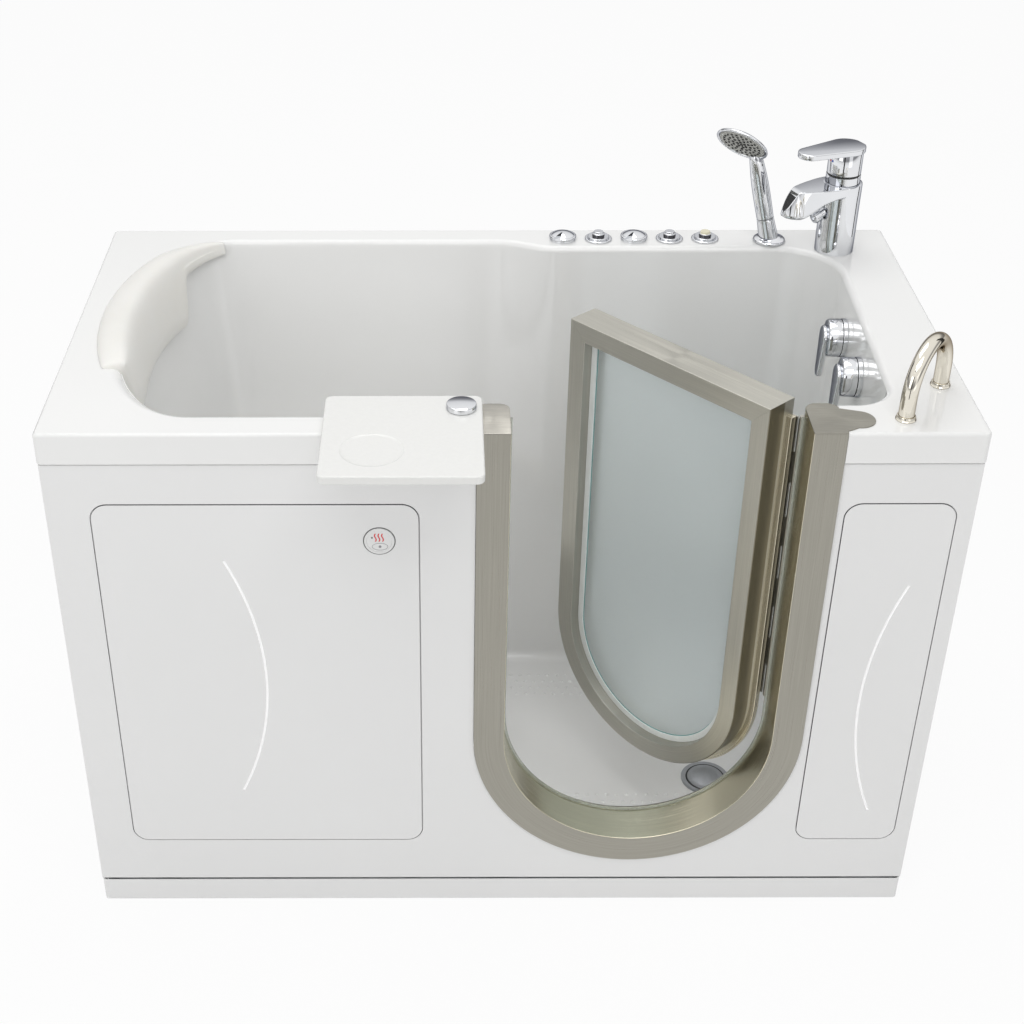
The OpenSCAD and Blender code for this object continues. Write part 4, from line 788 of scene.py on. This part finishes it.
def make_door():
    # half-widths and depths of the two frames, which hold the glass and the rubber between them
    lip, rebate, glass_y, gasket_y = DOOR_HALF - 3, 207, 62, FRAME_Y[1] - 0.1
    front = rounded([(FACE_HALF, FRAME_Y[0], 1.5), (DOOR_HALF, FRAME_Y[0], 1.5), (DOOR_HALF, gasket_y, 0.4),
                     (lip, gasket_y, 0.2), (lip, 66, 0.3), (rebate, 66, 0.3), (rebate, glass_y, 0.3),
                     (FACE_HALF, glass_y, 0.5)], 1, 4)
    rear = rounded([(FACE_HALF, 70, 0.5), (rebate - 1, 70, 0.4), (rebate - 1, FRAME_Y[1], 0.3),
                    (DOOR_HALF, FRAME_Y[1], 0.4), (DOOR_HALF, FRAME_Y[2], 1.5), (FACE_HALF, FRAME_Y[2], 1.5)],
                   1, 4)
    root, reach, y0, y1 = DOOR_HALF - 4, INNER - 1, 80, 92
    flange = rounded([(root, y0, 0.3), (reach, y0, 1.2), (reach, y1, 1.2), (root, y1, 0.3)], 1, 4)
    look = framed("door_front_frame_look", front, DOOR_HALF, DOOR_TOP, MITRE_GAP, "brushed_door",
                  "brushed_stainless", "door_front_frame")
    # the hinge side's flank stands in the gap's shade and is darker
    along = Vector((cos(radians(DOOR_OPEN)), -sin(radians(DOOR_OPEN)), 0))
    spots = [along.dot(v.co * 1000 + Vector((0, MID_Y, 0))) for v in look.data.vertices]
    middle = (min(spots) + max(spots)) / 2
    recolour(look, "flank_steel", lambda c, n: along.dot(n) > 0.06 and along.dot(c) > middle)
    framed("door_rear_frame_look", rear, DOOR_HALF, DOOR_TOP, MITRE_GAP, "brushed_door",
           "brushed_stainless", "door_rear_frame")
    # the flange takes a lighter, warmer copy of the door's steel: painted reflection
    put(swept("closing_flange", flange, *u_run(flange, DOOR_TOP - 27), "flange_steel", turn=True),
        "door", "brushed_stainless")
    # the glass pane's green edge, seen beside the white strip
    x0, x1, half, y0 = 176.4, 177.6, 177.5, 61.2
    line = rounded([(x0, y0, 0.2), (x1, y0, 0.2), (x1, glass_y, 0), (x0, glass_y, 0)], 0.2, 2)
    framed("glass_edge_line", line, half, DOOR_TOP - (DOOR_HALF - half), 0, "glass_edge", "frosted_glass",
           loose_v=0)
    dressed("door_glass", 0.8)
    dressed("glazing_strip", 0.5)
    dressed("door_gasket", 0.5)


# ---- neck pillow
PAD_START, PAD_END, PAD_TIP = -33, 46, 84  # degrees round the seat end; past PAD_END it thins to a tip
PAD_DROP, TIP_DROP = 120, 34  # how far the pad and its tip hang down the wall


def bowl_point(a, off, z, zz):
    """The point off outside the basin's seat end at angle a and level z, drawn at height zz."""
    s = off * BOWL_STRETCH if off > 0 else off
    bx = hermite(z, BOWL_X)
    cx, cy = left_at(z) + bx, (front_at(z) + back_at(z) + back_step_at(z)) / 2
    a = radians(a)
    return pt(cx - (bx + s) * cos(a), cy + (bowl_y_at(z) + off) * sin(a), zz)


def pillow_ring(t):
    a = mix(PAD_START, PAD_TIP, t)
    full = sqrt(max(0, 1 - 0.96 * abs(2 * t - 1) ** 6))
    drop = PAD_DROP * mix(0.55, 1, full)
    wide = 1
    if a > PAD_END:
        full = wide = 1 - 0.93 * (a - PAD_END) / (PAD_TIP - PAD_END)
        drop = mix(PAD_DROP, TIP_DROP, ease((a - PAD_END) / 6)) * mix(0.5, 1, full)

    def thin(off):
        return mix(-4, off, full) if off < -2.5 else mix(3, off, wide) if off > 3 else off

    shown = [(15, 1), (15.5, 7), (13, 13), (6, 17.5), (-4, 18), (-15, 14), (-23, 5), (-27, -9)]
    pad = [(-29, 0.25), (-29, 0.5), (-27, 0.75), (-21, 0.94), (-12, 1)]
    back = [(-4, 0.97), (-2.5, 0.7), (-2.5, 0.45), (-2.5, 0.3)]
    foot = [(-2.5, -14), (1, -6), (6, -0.5), (11, 0.3)]
    ring = [bowl_point(a, thin(off), TUB_H + min(0, up), TUB_H + (mix(1.5, up, full) if up > 1 else up))
            for off, up in shown]
    ring += [bowl_point(a, off, TUB_H - drop * share, TUB_H - drop * share)
             for off, share in [(thin(off), share) for off, share in pad] + back]
    return ring + [bowl_point(a, off, TUB_H, TUB_H + up) for off, up in foot]


def make_pillow():
    v, f = loft([pillow_ring(i / 60) for i in range(61)])
    o = from_data("neck_pillow_soft", v, f, "pillow_skin", angle=60)
    m = o.modifiers.new("round", "SUBSURF")
    m.levels = m.render_levels = 2
    bake(o)
    smooth(o, 60)
    stand_in(o, "neck_pillow")


# ---- hand shower
LEAN, SEAM_H = 13.9, 50
HEAD = (SHOWER[0] - 75, SHOWER[1] - 17, TUB_H + 201)
HEAD_DIR = Vector((-0.448, -0.563, -0.694)).normalized()


def shower_matrix():
    p = pt(SHOWER[0] - SEAM_H * tan(radians(LEAN)), SHOWER[1], TUB_H + SEAM_H)
    return Matrix.Translation(p) @ Matrix.Rotation(radians(-LEAN), 4, "Y")


def make_shower():
    place, here, deck = shower_matrix(), aimed(pt(*HEAD), -HEAD_DIR), stood(*SHOWER, TUB_H)
    grip = turned("grip", [(0, -28), (9, -28), (9, -0.2), (15.2, 0), (16.2, 0.6), (16.4, 2), (16.7, 20),
                           (16.9, 45), (16.6, 70), (15.6, 90), (14.2, 106), (13.4, 116), (12.6, 124),
                           (10, 130), (0, 132)], place, "chrome")
    head = turned("head", [(0, 19), (9, 18.6), (20, 17.2), (31, 14.2), (40, 10.4), (46, 7.2), (48.6, 6.4),
                           (50.6, 5.2), (51.8, 3.2), (51.6, 1.2), (50.4, 0.1), (48.6, 0), (47.2, 0.6),
                           (46.2, 2.4), (46, 4), (0, 4)], here, "chrome", angle=50)
    stand_in(join("hand_shower_look", [grip, head]), "hand_shower")
    face = [(0, 0.9), (20, 0.5), (36, 0.6), (43, 1.0), (45.4, 1.6), (45.6, 3.0), (0, 3.0)]
    parts = [turned("face", face, here, "nozzle_rubber", angle=50)]
    for count, ring in ((1, 0), (6, 9), (11, 18), (16, 27), (22, 36)):
        for i in range(count):
            t = 2 * pi * (i + 0.5 * (count % 2)) / count
            spot = here @ Matrix.Translation(Vector((ring * cos(t), ring * sin(t), 0)) / 1000)
            r = 3.0 if ring < 20 else 2.5
            parts.append(turned("nozzle", [(0, -0.9), (r * 0.7, -0.8), (r, 0.2), (r * 1.1, 1.4), (0, 1.4)],
                                spot, "nozzle_dark", 12))
    stand_in(join("shower_face_look", parts), "shower_face")
    base = turned("base", [(0, 0), (27, 0), (30, 0.8), (31.2, 3), (30.6, 5.6), (28.4, 7.4), (25, 8.4),
                           (22.4, 9.2), (21, 10.8), (0, 11.2)], deck, "chrome", angle=50)
    neck = turned("neck", [(0, -44), (19, -44), (18.4, -34), (17.4, -20), (16.7, -8), (16.4, -1.6),
                           (16.0, -0.5), (0, -0.4)], place, "chrome")
    tail = turned("tail", [(0, -27), (12, -27), (12, -14), (14, -14), (14, -7), (12, -7), (12, 1), (0, 1)],
                  deck, "brass", 48)
    stand_in(join("shower_holder_look", [base, neck, tail]), "shower_holder")


# ---- tap
SPOUT_TURN = 25


def tap_matrix():
    return Matrix.Translation(pt(*TAP, TUB_H)) @ Matrix.Rotation(radians(180 + SPOUT_TURN), 4, "Z")


def spline(table, t):
    """Column-wise smooth interpolation of rows whose first value is the parameter."""
    return [t] + [hermite(t, [(row[0], row[k]) for row in table]) for k in range(1, len(table[0]))]


def super_section(x, zb, zt, wt, wb):
    """A rounded section across the spout: flat on top, fuller below."""
    c = min(4.5, wt / 2, (zt - zb) / 3)
    points = rounded([(-wb, zb, c * 1.6), (wb, zb, c * 1.6), (wt, zt, 2.0), (-wt, zt, 2.0)], c, 7)
    return [Vector((x, y, z)) for y, z in points]


def as_drawn(x, y, z):
    return Vector((x, y, z))


def make_spout(here):
    rows = [(-6, 118, 138, 36, 35), (24, 117, 138, 36, 35), (60, 108, 138, 30, 32), (85, 92, 138, 23, 28),
            (100, 86, 138, 17, 26), (105, 85, 137, 14, 24), (116, 86, 124, 12, 20), (126, 88, 108, 8, 14),
            (130, 90, 102, 4, 8)]
    xs = [-6, 6, 15, 24, 32, 40, 50, 60, 68, 76, 85, 92, 97, 100, 102.5, 105, 109, 113, 116, 120, 123, 126,
          128, 130]
    v, f = loft([super_section(*spline(rows, x)) for x in xs])
    return from_data("spout", moved(v, here), f, "chrome", angle=38)


def make_knurled(place):
    """The diverter's knob, with grooves all round its grip."""
    n, grip = 72, (15, 28.2)
    rings = []
    for r, z in [(0, 14.2), (8, 14.2), (10.4, 14.4), (11, 15.4), (11, 27), (10.6, 28.4), (9, 30.8), (7.5, 31.2),
                 (0, 31.2)]:
        depth = 0.035 if grip[0] < z < grip[1] else 0
        rings.append([Vector((v.x, v.y, z)) for v in
                      [p * (1 - (depth if i % 4 < 2 else 0)) for i, p in enumerate(circle(r, z, n))]])
    v, f = loft(rings)
    return from_data("tap_diverter_look", moved(v, place), f, "chrome")


def make_tap():
    here = tap_matrix()
    body = turned("body", [(0, 0), (36.2, 0), (36.8, 0.8), (37.0, 30), (37.2, 60), (37.5, 110), (37.7, 136),
                           (37.2, 137.6), (36, 138), (32.4, 138.2), (32.4, 153.6), (31, 154.2), (31, 157),
                           (0, 157)], here, "chrome", 128, 38)
    shank = turned("shank", [(0, -43), (16, -43), (16, 1), (0, 1)], here, "brass", 48)
    outlet = here @ Matrix.Translation((0.030, 0, 0.084)) @ Matrix.Rotation(radians(112), 4, "Y")
    neck = turned("diverter_neck", [(0, 0), (9.5, 0), (8.2, 6), (8, 14), (0, 14)], outlet, "chrome", 48)
    stand_in(join("tap_body_look", [make_spout(here), body, shank, neck]), "tap_body")
    # a near-black ring in the groove between the body and the hub: painted shade
    put(turned("tap_painted_shade_ring", [(0, 154.3), (31.4, 154.3), (31.7, 155.6), (31.4, 157.05), (0, 157.05)],
               here, "dark_line"), "tub", "foot_plastic")
    stand_in(make_knurled(outlet), "tap_diverter")
    stand_in(turned("tap_hub_look", [(0, 157.2), (31.2, 157.2), (32, 158), (32, 198), (31.4, 199), (0, 199)],
               here, "chrome", 128), "tap_hub")
    for k, (side, mat) in enumerate(((-1, "red_mark"), (1, "blue_mark"))):
        t = radians(side * 5.5)
        out = (cos(t), sin(t), 0)
        spot = here @ aimed(Vector((0.032 * out[0], 0.032 * out[1], 0.184)), out)
        put(turned("tap_mark_" + str(k), [(0, -0.6), (2.2, -0.6), (2.4, 0), (2.0, 0.35), (0, 0.5)],
                   spot, mat, 24), "tap_hub", "chrome")
    tip_x, r0, r1 = 83, 35, 23
    lean = acos((r0 - r1) / tip_x)

    def lever_outline(inset):
        r, r_tip = r0 - inset, r1 - inset
        back = acos((-33 + inset) / r)
        up = [mix(back, lean, i / 30) for i in range(31)]
        up = [(r * cos(a), r * sin(a)) for a in up]
        tip = [mix(lean, -lean, i / 20) for i in range(21)]
        tip = [(tip_x + r_tip * cos(a), r_tip * sin(a)) for a in tip]
        return list(reversed(up + tip + [(x, -y) for x, y in reversed(up)]))

    v, f = plate(lever_outline, 199.1, 210.1, 2.2, as_drawn)
    stand_in(from_data("tap_lever_look", moved(v, here), f, "chrome", angle=42), "tap_lever")


def make_lever(i):
    """A round body that turns on the wall, with a rounded paddle across its outer end."""
    here = aimed(*lever_place(i))
    name = ("drain_lever_front", "drain_lever_back")[i]
    base, bore_r = 8.2, 8.2
    end = base + 26
    body = turned("body", [(bore_r, base), (33.6, base), (35, base + 1), (35.2, base + 9), (34.8, end - 4),
                           (33.4, end - 1), (31, end), (bore_r, end)], here, "chrome", angle=40)

    def paddle(inset):
        r0, r1, far = 23 - inset, 14 - inset, 66
        side = acos((r0 - r1) / far)
        hub = [mix(side, 2 * pi - side, k / 48) for k in range(49)]
        tip = [mix(-side, side, k / 24) for k in range(25)]
        points = [(r0 * cos(a), r0 * sin(a)) for a in hub]
        return points + [(far + r1 * cos(a), r1 * sin(a)) for a in tip]

    v, f = plate(paddle, end - 1.5, end + 8.5, 3, as_drawn)
    top = from_data("paddle", moved(v, here), f, "chrome", angle=40)
    stand_in(join(name + "_look", [body, top]), name)


# ---- grab bar
def make_bar():
    a, b = Vector(BAR[0]), Vector(BAR[1])
    d, mid = b - a, (a + b) / 2
    u, span = d.normalized(), d.length / 2
    tube, n, low, high = 13, 48, 4, 36
    leg = [mix(low, high, i / 6) for i in range(7)]
    arc = [pi * i / n for i in range(1, n)]
    path = [(-span, z) for z in leg]
    path += [(-span * cos(t), high + span * sin(t)) for t in arc]
    path += [(span, z) for z in reversed(leg)]
    rings = []
    for i, (s, z) in enumerate(path):
        s0, z0 = path[max(0, i - 1)]
        s1, z1 = path[min(len(path) - 1, i + 1)]
        t = Vector((s1 - s0, z1 - z0)).normalized()
        ring = []
        for p in circle(tube, 0, n):
            along, up = s + t.y * p.x, z - t.x * p.x
            ring.append(pt(mid.x + u.x * along - u.y * p.y, mid.y + u.y * along + u.x * p.y, TUB_H + up))
        rings.append(ring)
    v, f = loft(rings)
    stand_in(from_data("grab_bar_look", v, f, "warm_nickel"), "grab_bar")
    parts = []
    for foot in BAR:
        here = stood(*foot, TUB_H)
        parts.append(turned("flange", [(0, 0), (16, 0), (16.7, 0.8), (16.6, 1.8), (15.4, 3), (15.2, 6.8),
                                       (14.6, 7.8), (13.4, 8), (13.1, 7.4), (0, 7.4)], here, "warm_nickel", 72))
        parts.append(turned("stud", [(0, -23), (5, -23), (5, -14), (9, -14), (9, -7), (5, -7), (5, 0), (0, 0)],
                            here, "satin_steel", 36))
    stand_in(join("grab_bar_flanges_look", parts), "grab_bar_flanges")


# ---- tray
POST, POST_R = (-80, 50), 8.05
TRAY, TRAY_SIDE = (-300, -160), 254
CUP = (TRAY[0] + 81, -80)


def make_tray():
    z0, z1 = DOOR_TOP + 2, DOOR_TOP + 17

    def square(i):
        (x, y), side = TRAY, TRAY_SIDE
        return round_rect(x + i, y + i, x + side - i, y + side - i, 12 - i * 0.5)

    v, f = plate(square, z0, z1, 3, pt)
    o = from_data("tray_look", v, f, "tray_plastic")
    v, f = revolve([(0, -1.6), (44, -1.6), (47, -1.3), (49.2, -0.6), (50.4, 0.15), (51.0, 1.5), (0, 1.5)], 128)
    cut(o, [cutter(moved(v, stood(*CUP, z1)), f), bore(pt(*POST, z0), UP, POST_R, -5, 25)])
    smooth(o)
    stand_in(finished(o), "tray")
    knob = [(0, 0), (22, 0), (22, 1), (23.4, 1), (24, 1.4), (24, 8.8), (23.6, 9.6), (22.8, 10), (0, 10)]
    stand_in(turned("tray_knob_look", knob, stood(*POST, z1), "chrome"), "tray_knob")


# ---- small marks
HEAT = (-215, 823)
PANEL_Y, BUTTON_Y = 2.5, 1.5  # the fronts of the panel and of its heat button
MARK_H = 0.25


def wave(name, x, z, mat):
    """A stroke of the heat sign, which sways once to each side on its way up."""
    k, half, height, sway = 14, 1.0, 15.5, 1.3
    rings = []
    for i in range(k + 1):
        xx, zz = x + sway * sin(2 * pi * i / k), z + height * i / k
        rings.append([pt(xx + s, BUTTON_Y + dy, zz) for s, dy in
                      ((-half, 0), (-half, -MARK_H), (half, -MARK_H), (half, 0))])
    v, f = loft(rings)
    put(from_data(name, v, f, mat), "heat_button", "white_panel")


def flat_ring(name, x, z, rx, rz, width, y, body, mat):
    """A thin raised ring on a front, or a full disc where the width is no less than rx."""
    disc = width >= rx
    turn = [2 * pi * i / 64 for i in range(64)]
    steps = [(0, 0), (0.1, MARK_H)] + ([] if disc else [(width - 0.1, MARK_H), (width, 0)])
    v, f = loft([[pt(x + (rx - w) * cos(t), y - dy, z + (rz - w) * sin(t)) for t in turn]
                 for w, dy in steps], caps=disc, wrap=not disc)
    put(from_data(name, v, f, mat), body, "white_panel")


def make_marks():
    x, z = HEAT
    for i in range(3):
        wave("heat_mark_" + str(i), x - 6.4 + 5.9 * i, z - 0.5, "red_mark")
    flat_ring("heat_mark_oval", x + 1, z - 10.6, 13.3, 7.2, 0.8, BUTTON_Y, "heat_button", "grey_mark")
    flat_ring("heat_mark_dot", x + 1, z - 10.6, 2.4, 2.6, 9, BUTTON_Y, "heat_button", "grey_mark")
    flat_ring("heat_mark_light", x - 12, z + 7, 1.6, 1.7, 9, BUTTON_Y, "heat_button", "ring_grey")
    flat_ring("heat_ring_line", x, z, 27, 27, 1.7, PANEL_Y, "left_panel", "ring_grey")
    # a near-black ring round each drain, in the gap between plug and flange: painted shade
    for k, d in enumerate(DRAINS):
        ring = [(36.7, 0), (36.7, 3.0), (37.2, 3.3), (39.4, 3.3), (39.9, 3.0), (39.9, 0)]
        put(turned("drain_gap_shade_" + str(k), ring, stood(*d, WELL_Z), "dark_line", wrap=True),
            "tub", "door_rubber")
    # anti-slip studs moulded in the footwell floor, in rows with every other one set on
    stud, stud_f = revolve([(4.2, 0), (3.6, 0.7), (2.4, 1.1), (0, 1.2)], 12)
    verts, faces = [], []
    for row in range(9):
        for col in range(26):
            x, y = 40 + 20 * col + 10 * (row % 2), 150 + 22 * row + (300 if row > 4 else 0)
            if x > 560 or any(hypot(x - dx, y - dy) < 62 for dx, dy in DRAINS):
                continue
            faces += [tuple(i + len(verts) for i in q) for q in stud_f]
            verts += [pt(p[0] + x, p[1] + y, p[2] + WELL_Z - 0.05) for p in stud]
    put(from_data("anti_slip_studs", verts, faces, "white_acrylic"), "tub", "white_acrylic")


# ---- pieces that take their form from the CAD, with the bevel of their edges
EDGES = {
    "front_skirt": 1.2, "left_access_panel": 1.5, "right_access_panel": 1.5, "kick_rail": 1.0,
    "left_end_panel": 1.0, "right_end_panel": 1.0, "base_frame": 2.0, "frame_posts": 2.0, "deck_rails": 2.0,
    "seat_frame": 2.0, "levelling_feet": 0.5, "equipment_shelf": 0.4, "air_blower": 1.0, "control_box": 2.0,
    "jamb_cap_right": 0.6, "hinge_leaf_jamb": 0.3, "hinge_leaf_door": 0.3, "hinge_pin": 0.4,
    "tray_post": 0.8, "control_flanges": 0.4, "deck_valves": 0.6, "diverter_knob_1": 0.7,
    "diverter_knob_2": 0.7, "push_button_1": 0.8, "push_button_2": 0.8, "push_button_3": 0.8,
    "tap_tails": 0.4, "lever_escutcheons": 0.6, "drain_flanges": 0.3, "drain_plug_front": 0.3,
    "drain_plug_back": 0.3, "waste_pipe": 0.5, "heat_button_bezel": 0.3, "heat_button": 0.4}
OTHER_MAT = {"jamb_cap_right": "brushed_top", "push_button_3": "chrome", "heat_button_bezel": "white_panel",
             "hinge_leaf_jamb": "brushed_door", "hinge_leaf_door": "brushed_door", "hinge_pin": "brushed_door"}
PANEL_MARGIN, HEAT_MARGIN = 22, 30  # where a panel's arc line ends, from its edges and its button's middle
DOME_R, DOME_TOP = 38, 17


def colour_panel(look):
    """Painted shade on the panel's edge faces, as in the gap round it, and a painted highlight on the moulded
    arc line, which glows brighter than the panel round it.
    """
    recolour(look, "panel_edge", lambda c, n: abs(n.y) < 0.3 and 3.2 < c.y < 12)
    xs = [v.co.x * 1000 for v in look.data.vertices]
    zs = [v.co.z * 1000 for v in look.data.vertices]
    x0, x1, z0, z1 = min(xs), max(xs), min(zs), max(zs)
    # the arc line glows faintly brighter than the panel: painted highlight
    recolour(look, "arc_painted_highlight", lambda c, n: x0 + PANEL_MARGIN < c.x < x1 - PANEL_MARGIN and 2.55 < c.y < 6
             and z0 + PANEL_MARGIN < c.z < z1 - PANEL_MARGIN
             and hypot(c.x - HEAT[0], c.z - HEAT[1]) > HEAT_MARGIN)


def colour_knob(look, x):
    """The scoops of a diverter knob, which lie under its dome, are painted dark: painted shade."""
    def shaded(c, n):
        out = hypot(c.x - x, c.y - CONTROL_Y)
        dome = TUB_H + DOME_TOP - DOME_R + sqrt(DOME_R ** 2 - min(23, out) ** 2)
        return TUB_H + 7 < c.z < dome - 0.9 and out < 21 and n.x < 0.25

    recolour(look, "painted_shade_chrome", shaded)


make_tub()
make_jamb()
make_door()
make_pillow()
make_shower()
make_tap()
make_lever(0)
make_lever(1)
make_bar()
make_tray()
make_marks()
for name, edge in EDGES.items():
    look = dressed(name, edge, OTHER_MAT.get(name))
    if name.endswith("access_panel"):
        colour_panel(look)
    if name == "push_button_3":
        recolour(look, "pale_cap", lambda c, n: c.z > TUB_H + 13.2)
    # the lower part of each push button is painted dark: painted shade
    if name.startswith("push_button"):
        recolour(look, "painted_shade_chrome", lambda c, n: c.z < TUB_H + 9.2)
    if name.startswith("diverter_knob"):
        colour_knob(look, CONTROL_X[0 if name.endswith("1") else 2])


# ---- floor, light and background
def looking_ray(nt):
    """1 for the rays that look at the background: the camera's, and those off or through a piece."""
    rays = node(nt, "ShaderNodeLightPath").outputs
    seen = arith(nt, "MAXIMUM", rays["Is Camera Ray"], rays["Is Glossy Ray"])
    return arith(nt, "MAXIMUM", seen, rays["Is Transmission Ray"])


def rectangle(name, w, h, mat):
    mesh = bpy.data.meshes.new(name)
    mesh.from_pydata([(-w, -h, 0), (w, -h, 0), (w, h, 0), (-w, h, 0)], [], [(0, 1, 2, 3)])
    return link(name, mesh, [mat])


def aim(o, at, to):
    o.location = at
    o.rotation_euler = (Vector(to) - Vector(at)).to_track_quat("-Z", "Y").to_euler()


def stage_floor():
    nt = new_material("floor_white")
    f = noise(nt, coordinates(nt), 3, 2)
    surface(nt, {"Base Color": ramp(nt, f, [(0.3, (0.86,) * 3), (0.7, (0.88,) * 3)]), "Roughness": 0.8,
                 "Specular IOR Level": 0.1})
    # most of what a looking ray sees is plain white, and the rest keeps the shadow
    share = arith(nt, "MULTIPLY", looking_ray(nt), 0.92)
    white = node(nt, "ShaderNodeEmission", {"Strength": 1.0})
    both = node(nt, "ShaderNodeMixShader", {0: share, 1: nt.nodes["Principled BSDF"].outputs[0],
                                            2: white.outputs[0]})
    feed(nt.nodes["Material Output"], {"Surface": both.outputs[0]})
    rectangle("floor", 30, 30, "floor_white")


def area(name, at, to, size, watts):
    d = bpy.data.lights.new(name, "AREA")
    d.shape = "RECTANGLE"
    d.size, d.size_y = size
    d.energy = watts
    aim(added(name, d), at, to)


def dark_card(name, at, width, height):
    """A dark board outside the picture, which gives polished metal its dark streaks."""
    o = rectangle(name, width / 2, height / 2, "dark_line")
    aim(o, at, (0.5, 0, at[2]))
    for ray in ("camera", "diffuse", "transmission", "shadow", "volume_scatter"):
        setattr(o, "visible_" + ray, False)


stage_floor()
dark_card("card_front", (-0.35, -3.0, 1.45), 0.5, 2.8)
dark_card("card_right", (2.7, 0.8, 1.35), 0.32, 2.6)
dark_card("card_high", (-0.55, -1.75, 3.5), 0.42, 1.5)
dark_card("card_back", (-2.4, 1.9, 1.45), 0.8, 2.8)
area("top", (-0.5, 1.45, 5.5), (0.0, 0.1, 0.8), (3.2, 2.6), 52)
area("basin", (0.0, -1.9, 3.9), (-0.1, 0.2, 0.8), (2.8, 1.4), 29)
area("key", (-3.0, -3.6, 2.6), (0, 0, 0.6), (2.4, 2.4), 24)
area("fill", (2.6, -4.2, 1.8), (0, 0, 0.6), (2.0, 2.4), 8)
world = bpy.data.worlds.new("studio")
bpy.context.scene.world = world
world.use_nodes = True
wt = world.node_tree
dim = wt.nodes["Background"]
feed(dim, {"Color": (1, 1, 1, 1), "Strength": 0.59})
# metal and glass see a white room with a darker band round the horizon
tc = node(wt, "ShaderNodeTexCoord").outputs["Generated"]
height = node(wt, "ShaderNodeSeparateXYZ", {0: tc}).outputs["Z"]
tones = [(0.0, (0.9, 0.9, 0.9)), (0.17, (0.85, 0.85, 0.85)), (0.22, (0.25, 0.25, 0.26)),
         (0.36, (0.40, 0.40, 0.41)), (0.5, (0.95, 0.95, 0.95)), (1.0, (1, 1, 1))]
room = node(wt, "ShaderNodeBackground", {"Color": ramp(wt, spread(wt, height, 0, 1, -0.2, 1.0), tones),
                                         "Strength": 1.0})
both = node(wt, "ShaderNodeMixShader", {0: looking_ray(wt), 1: dim.outputs[0], 2: room.outputs[0]})
feed(wt.nodes["World Output"], {"Surface": both.outputs[0]})
bpy.context.scene.view_settings.view_transform = "Standard"
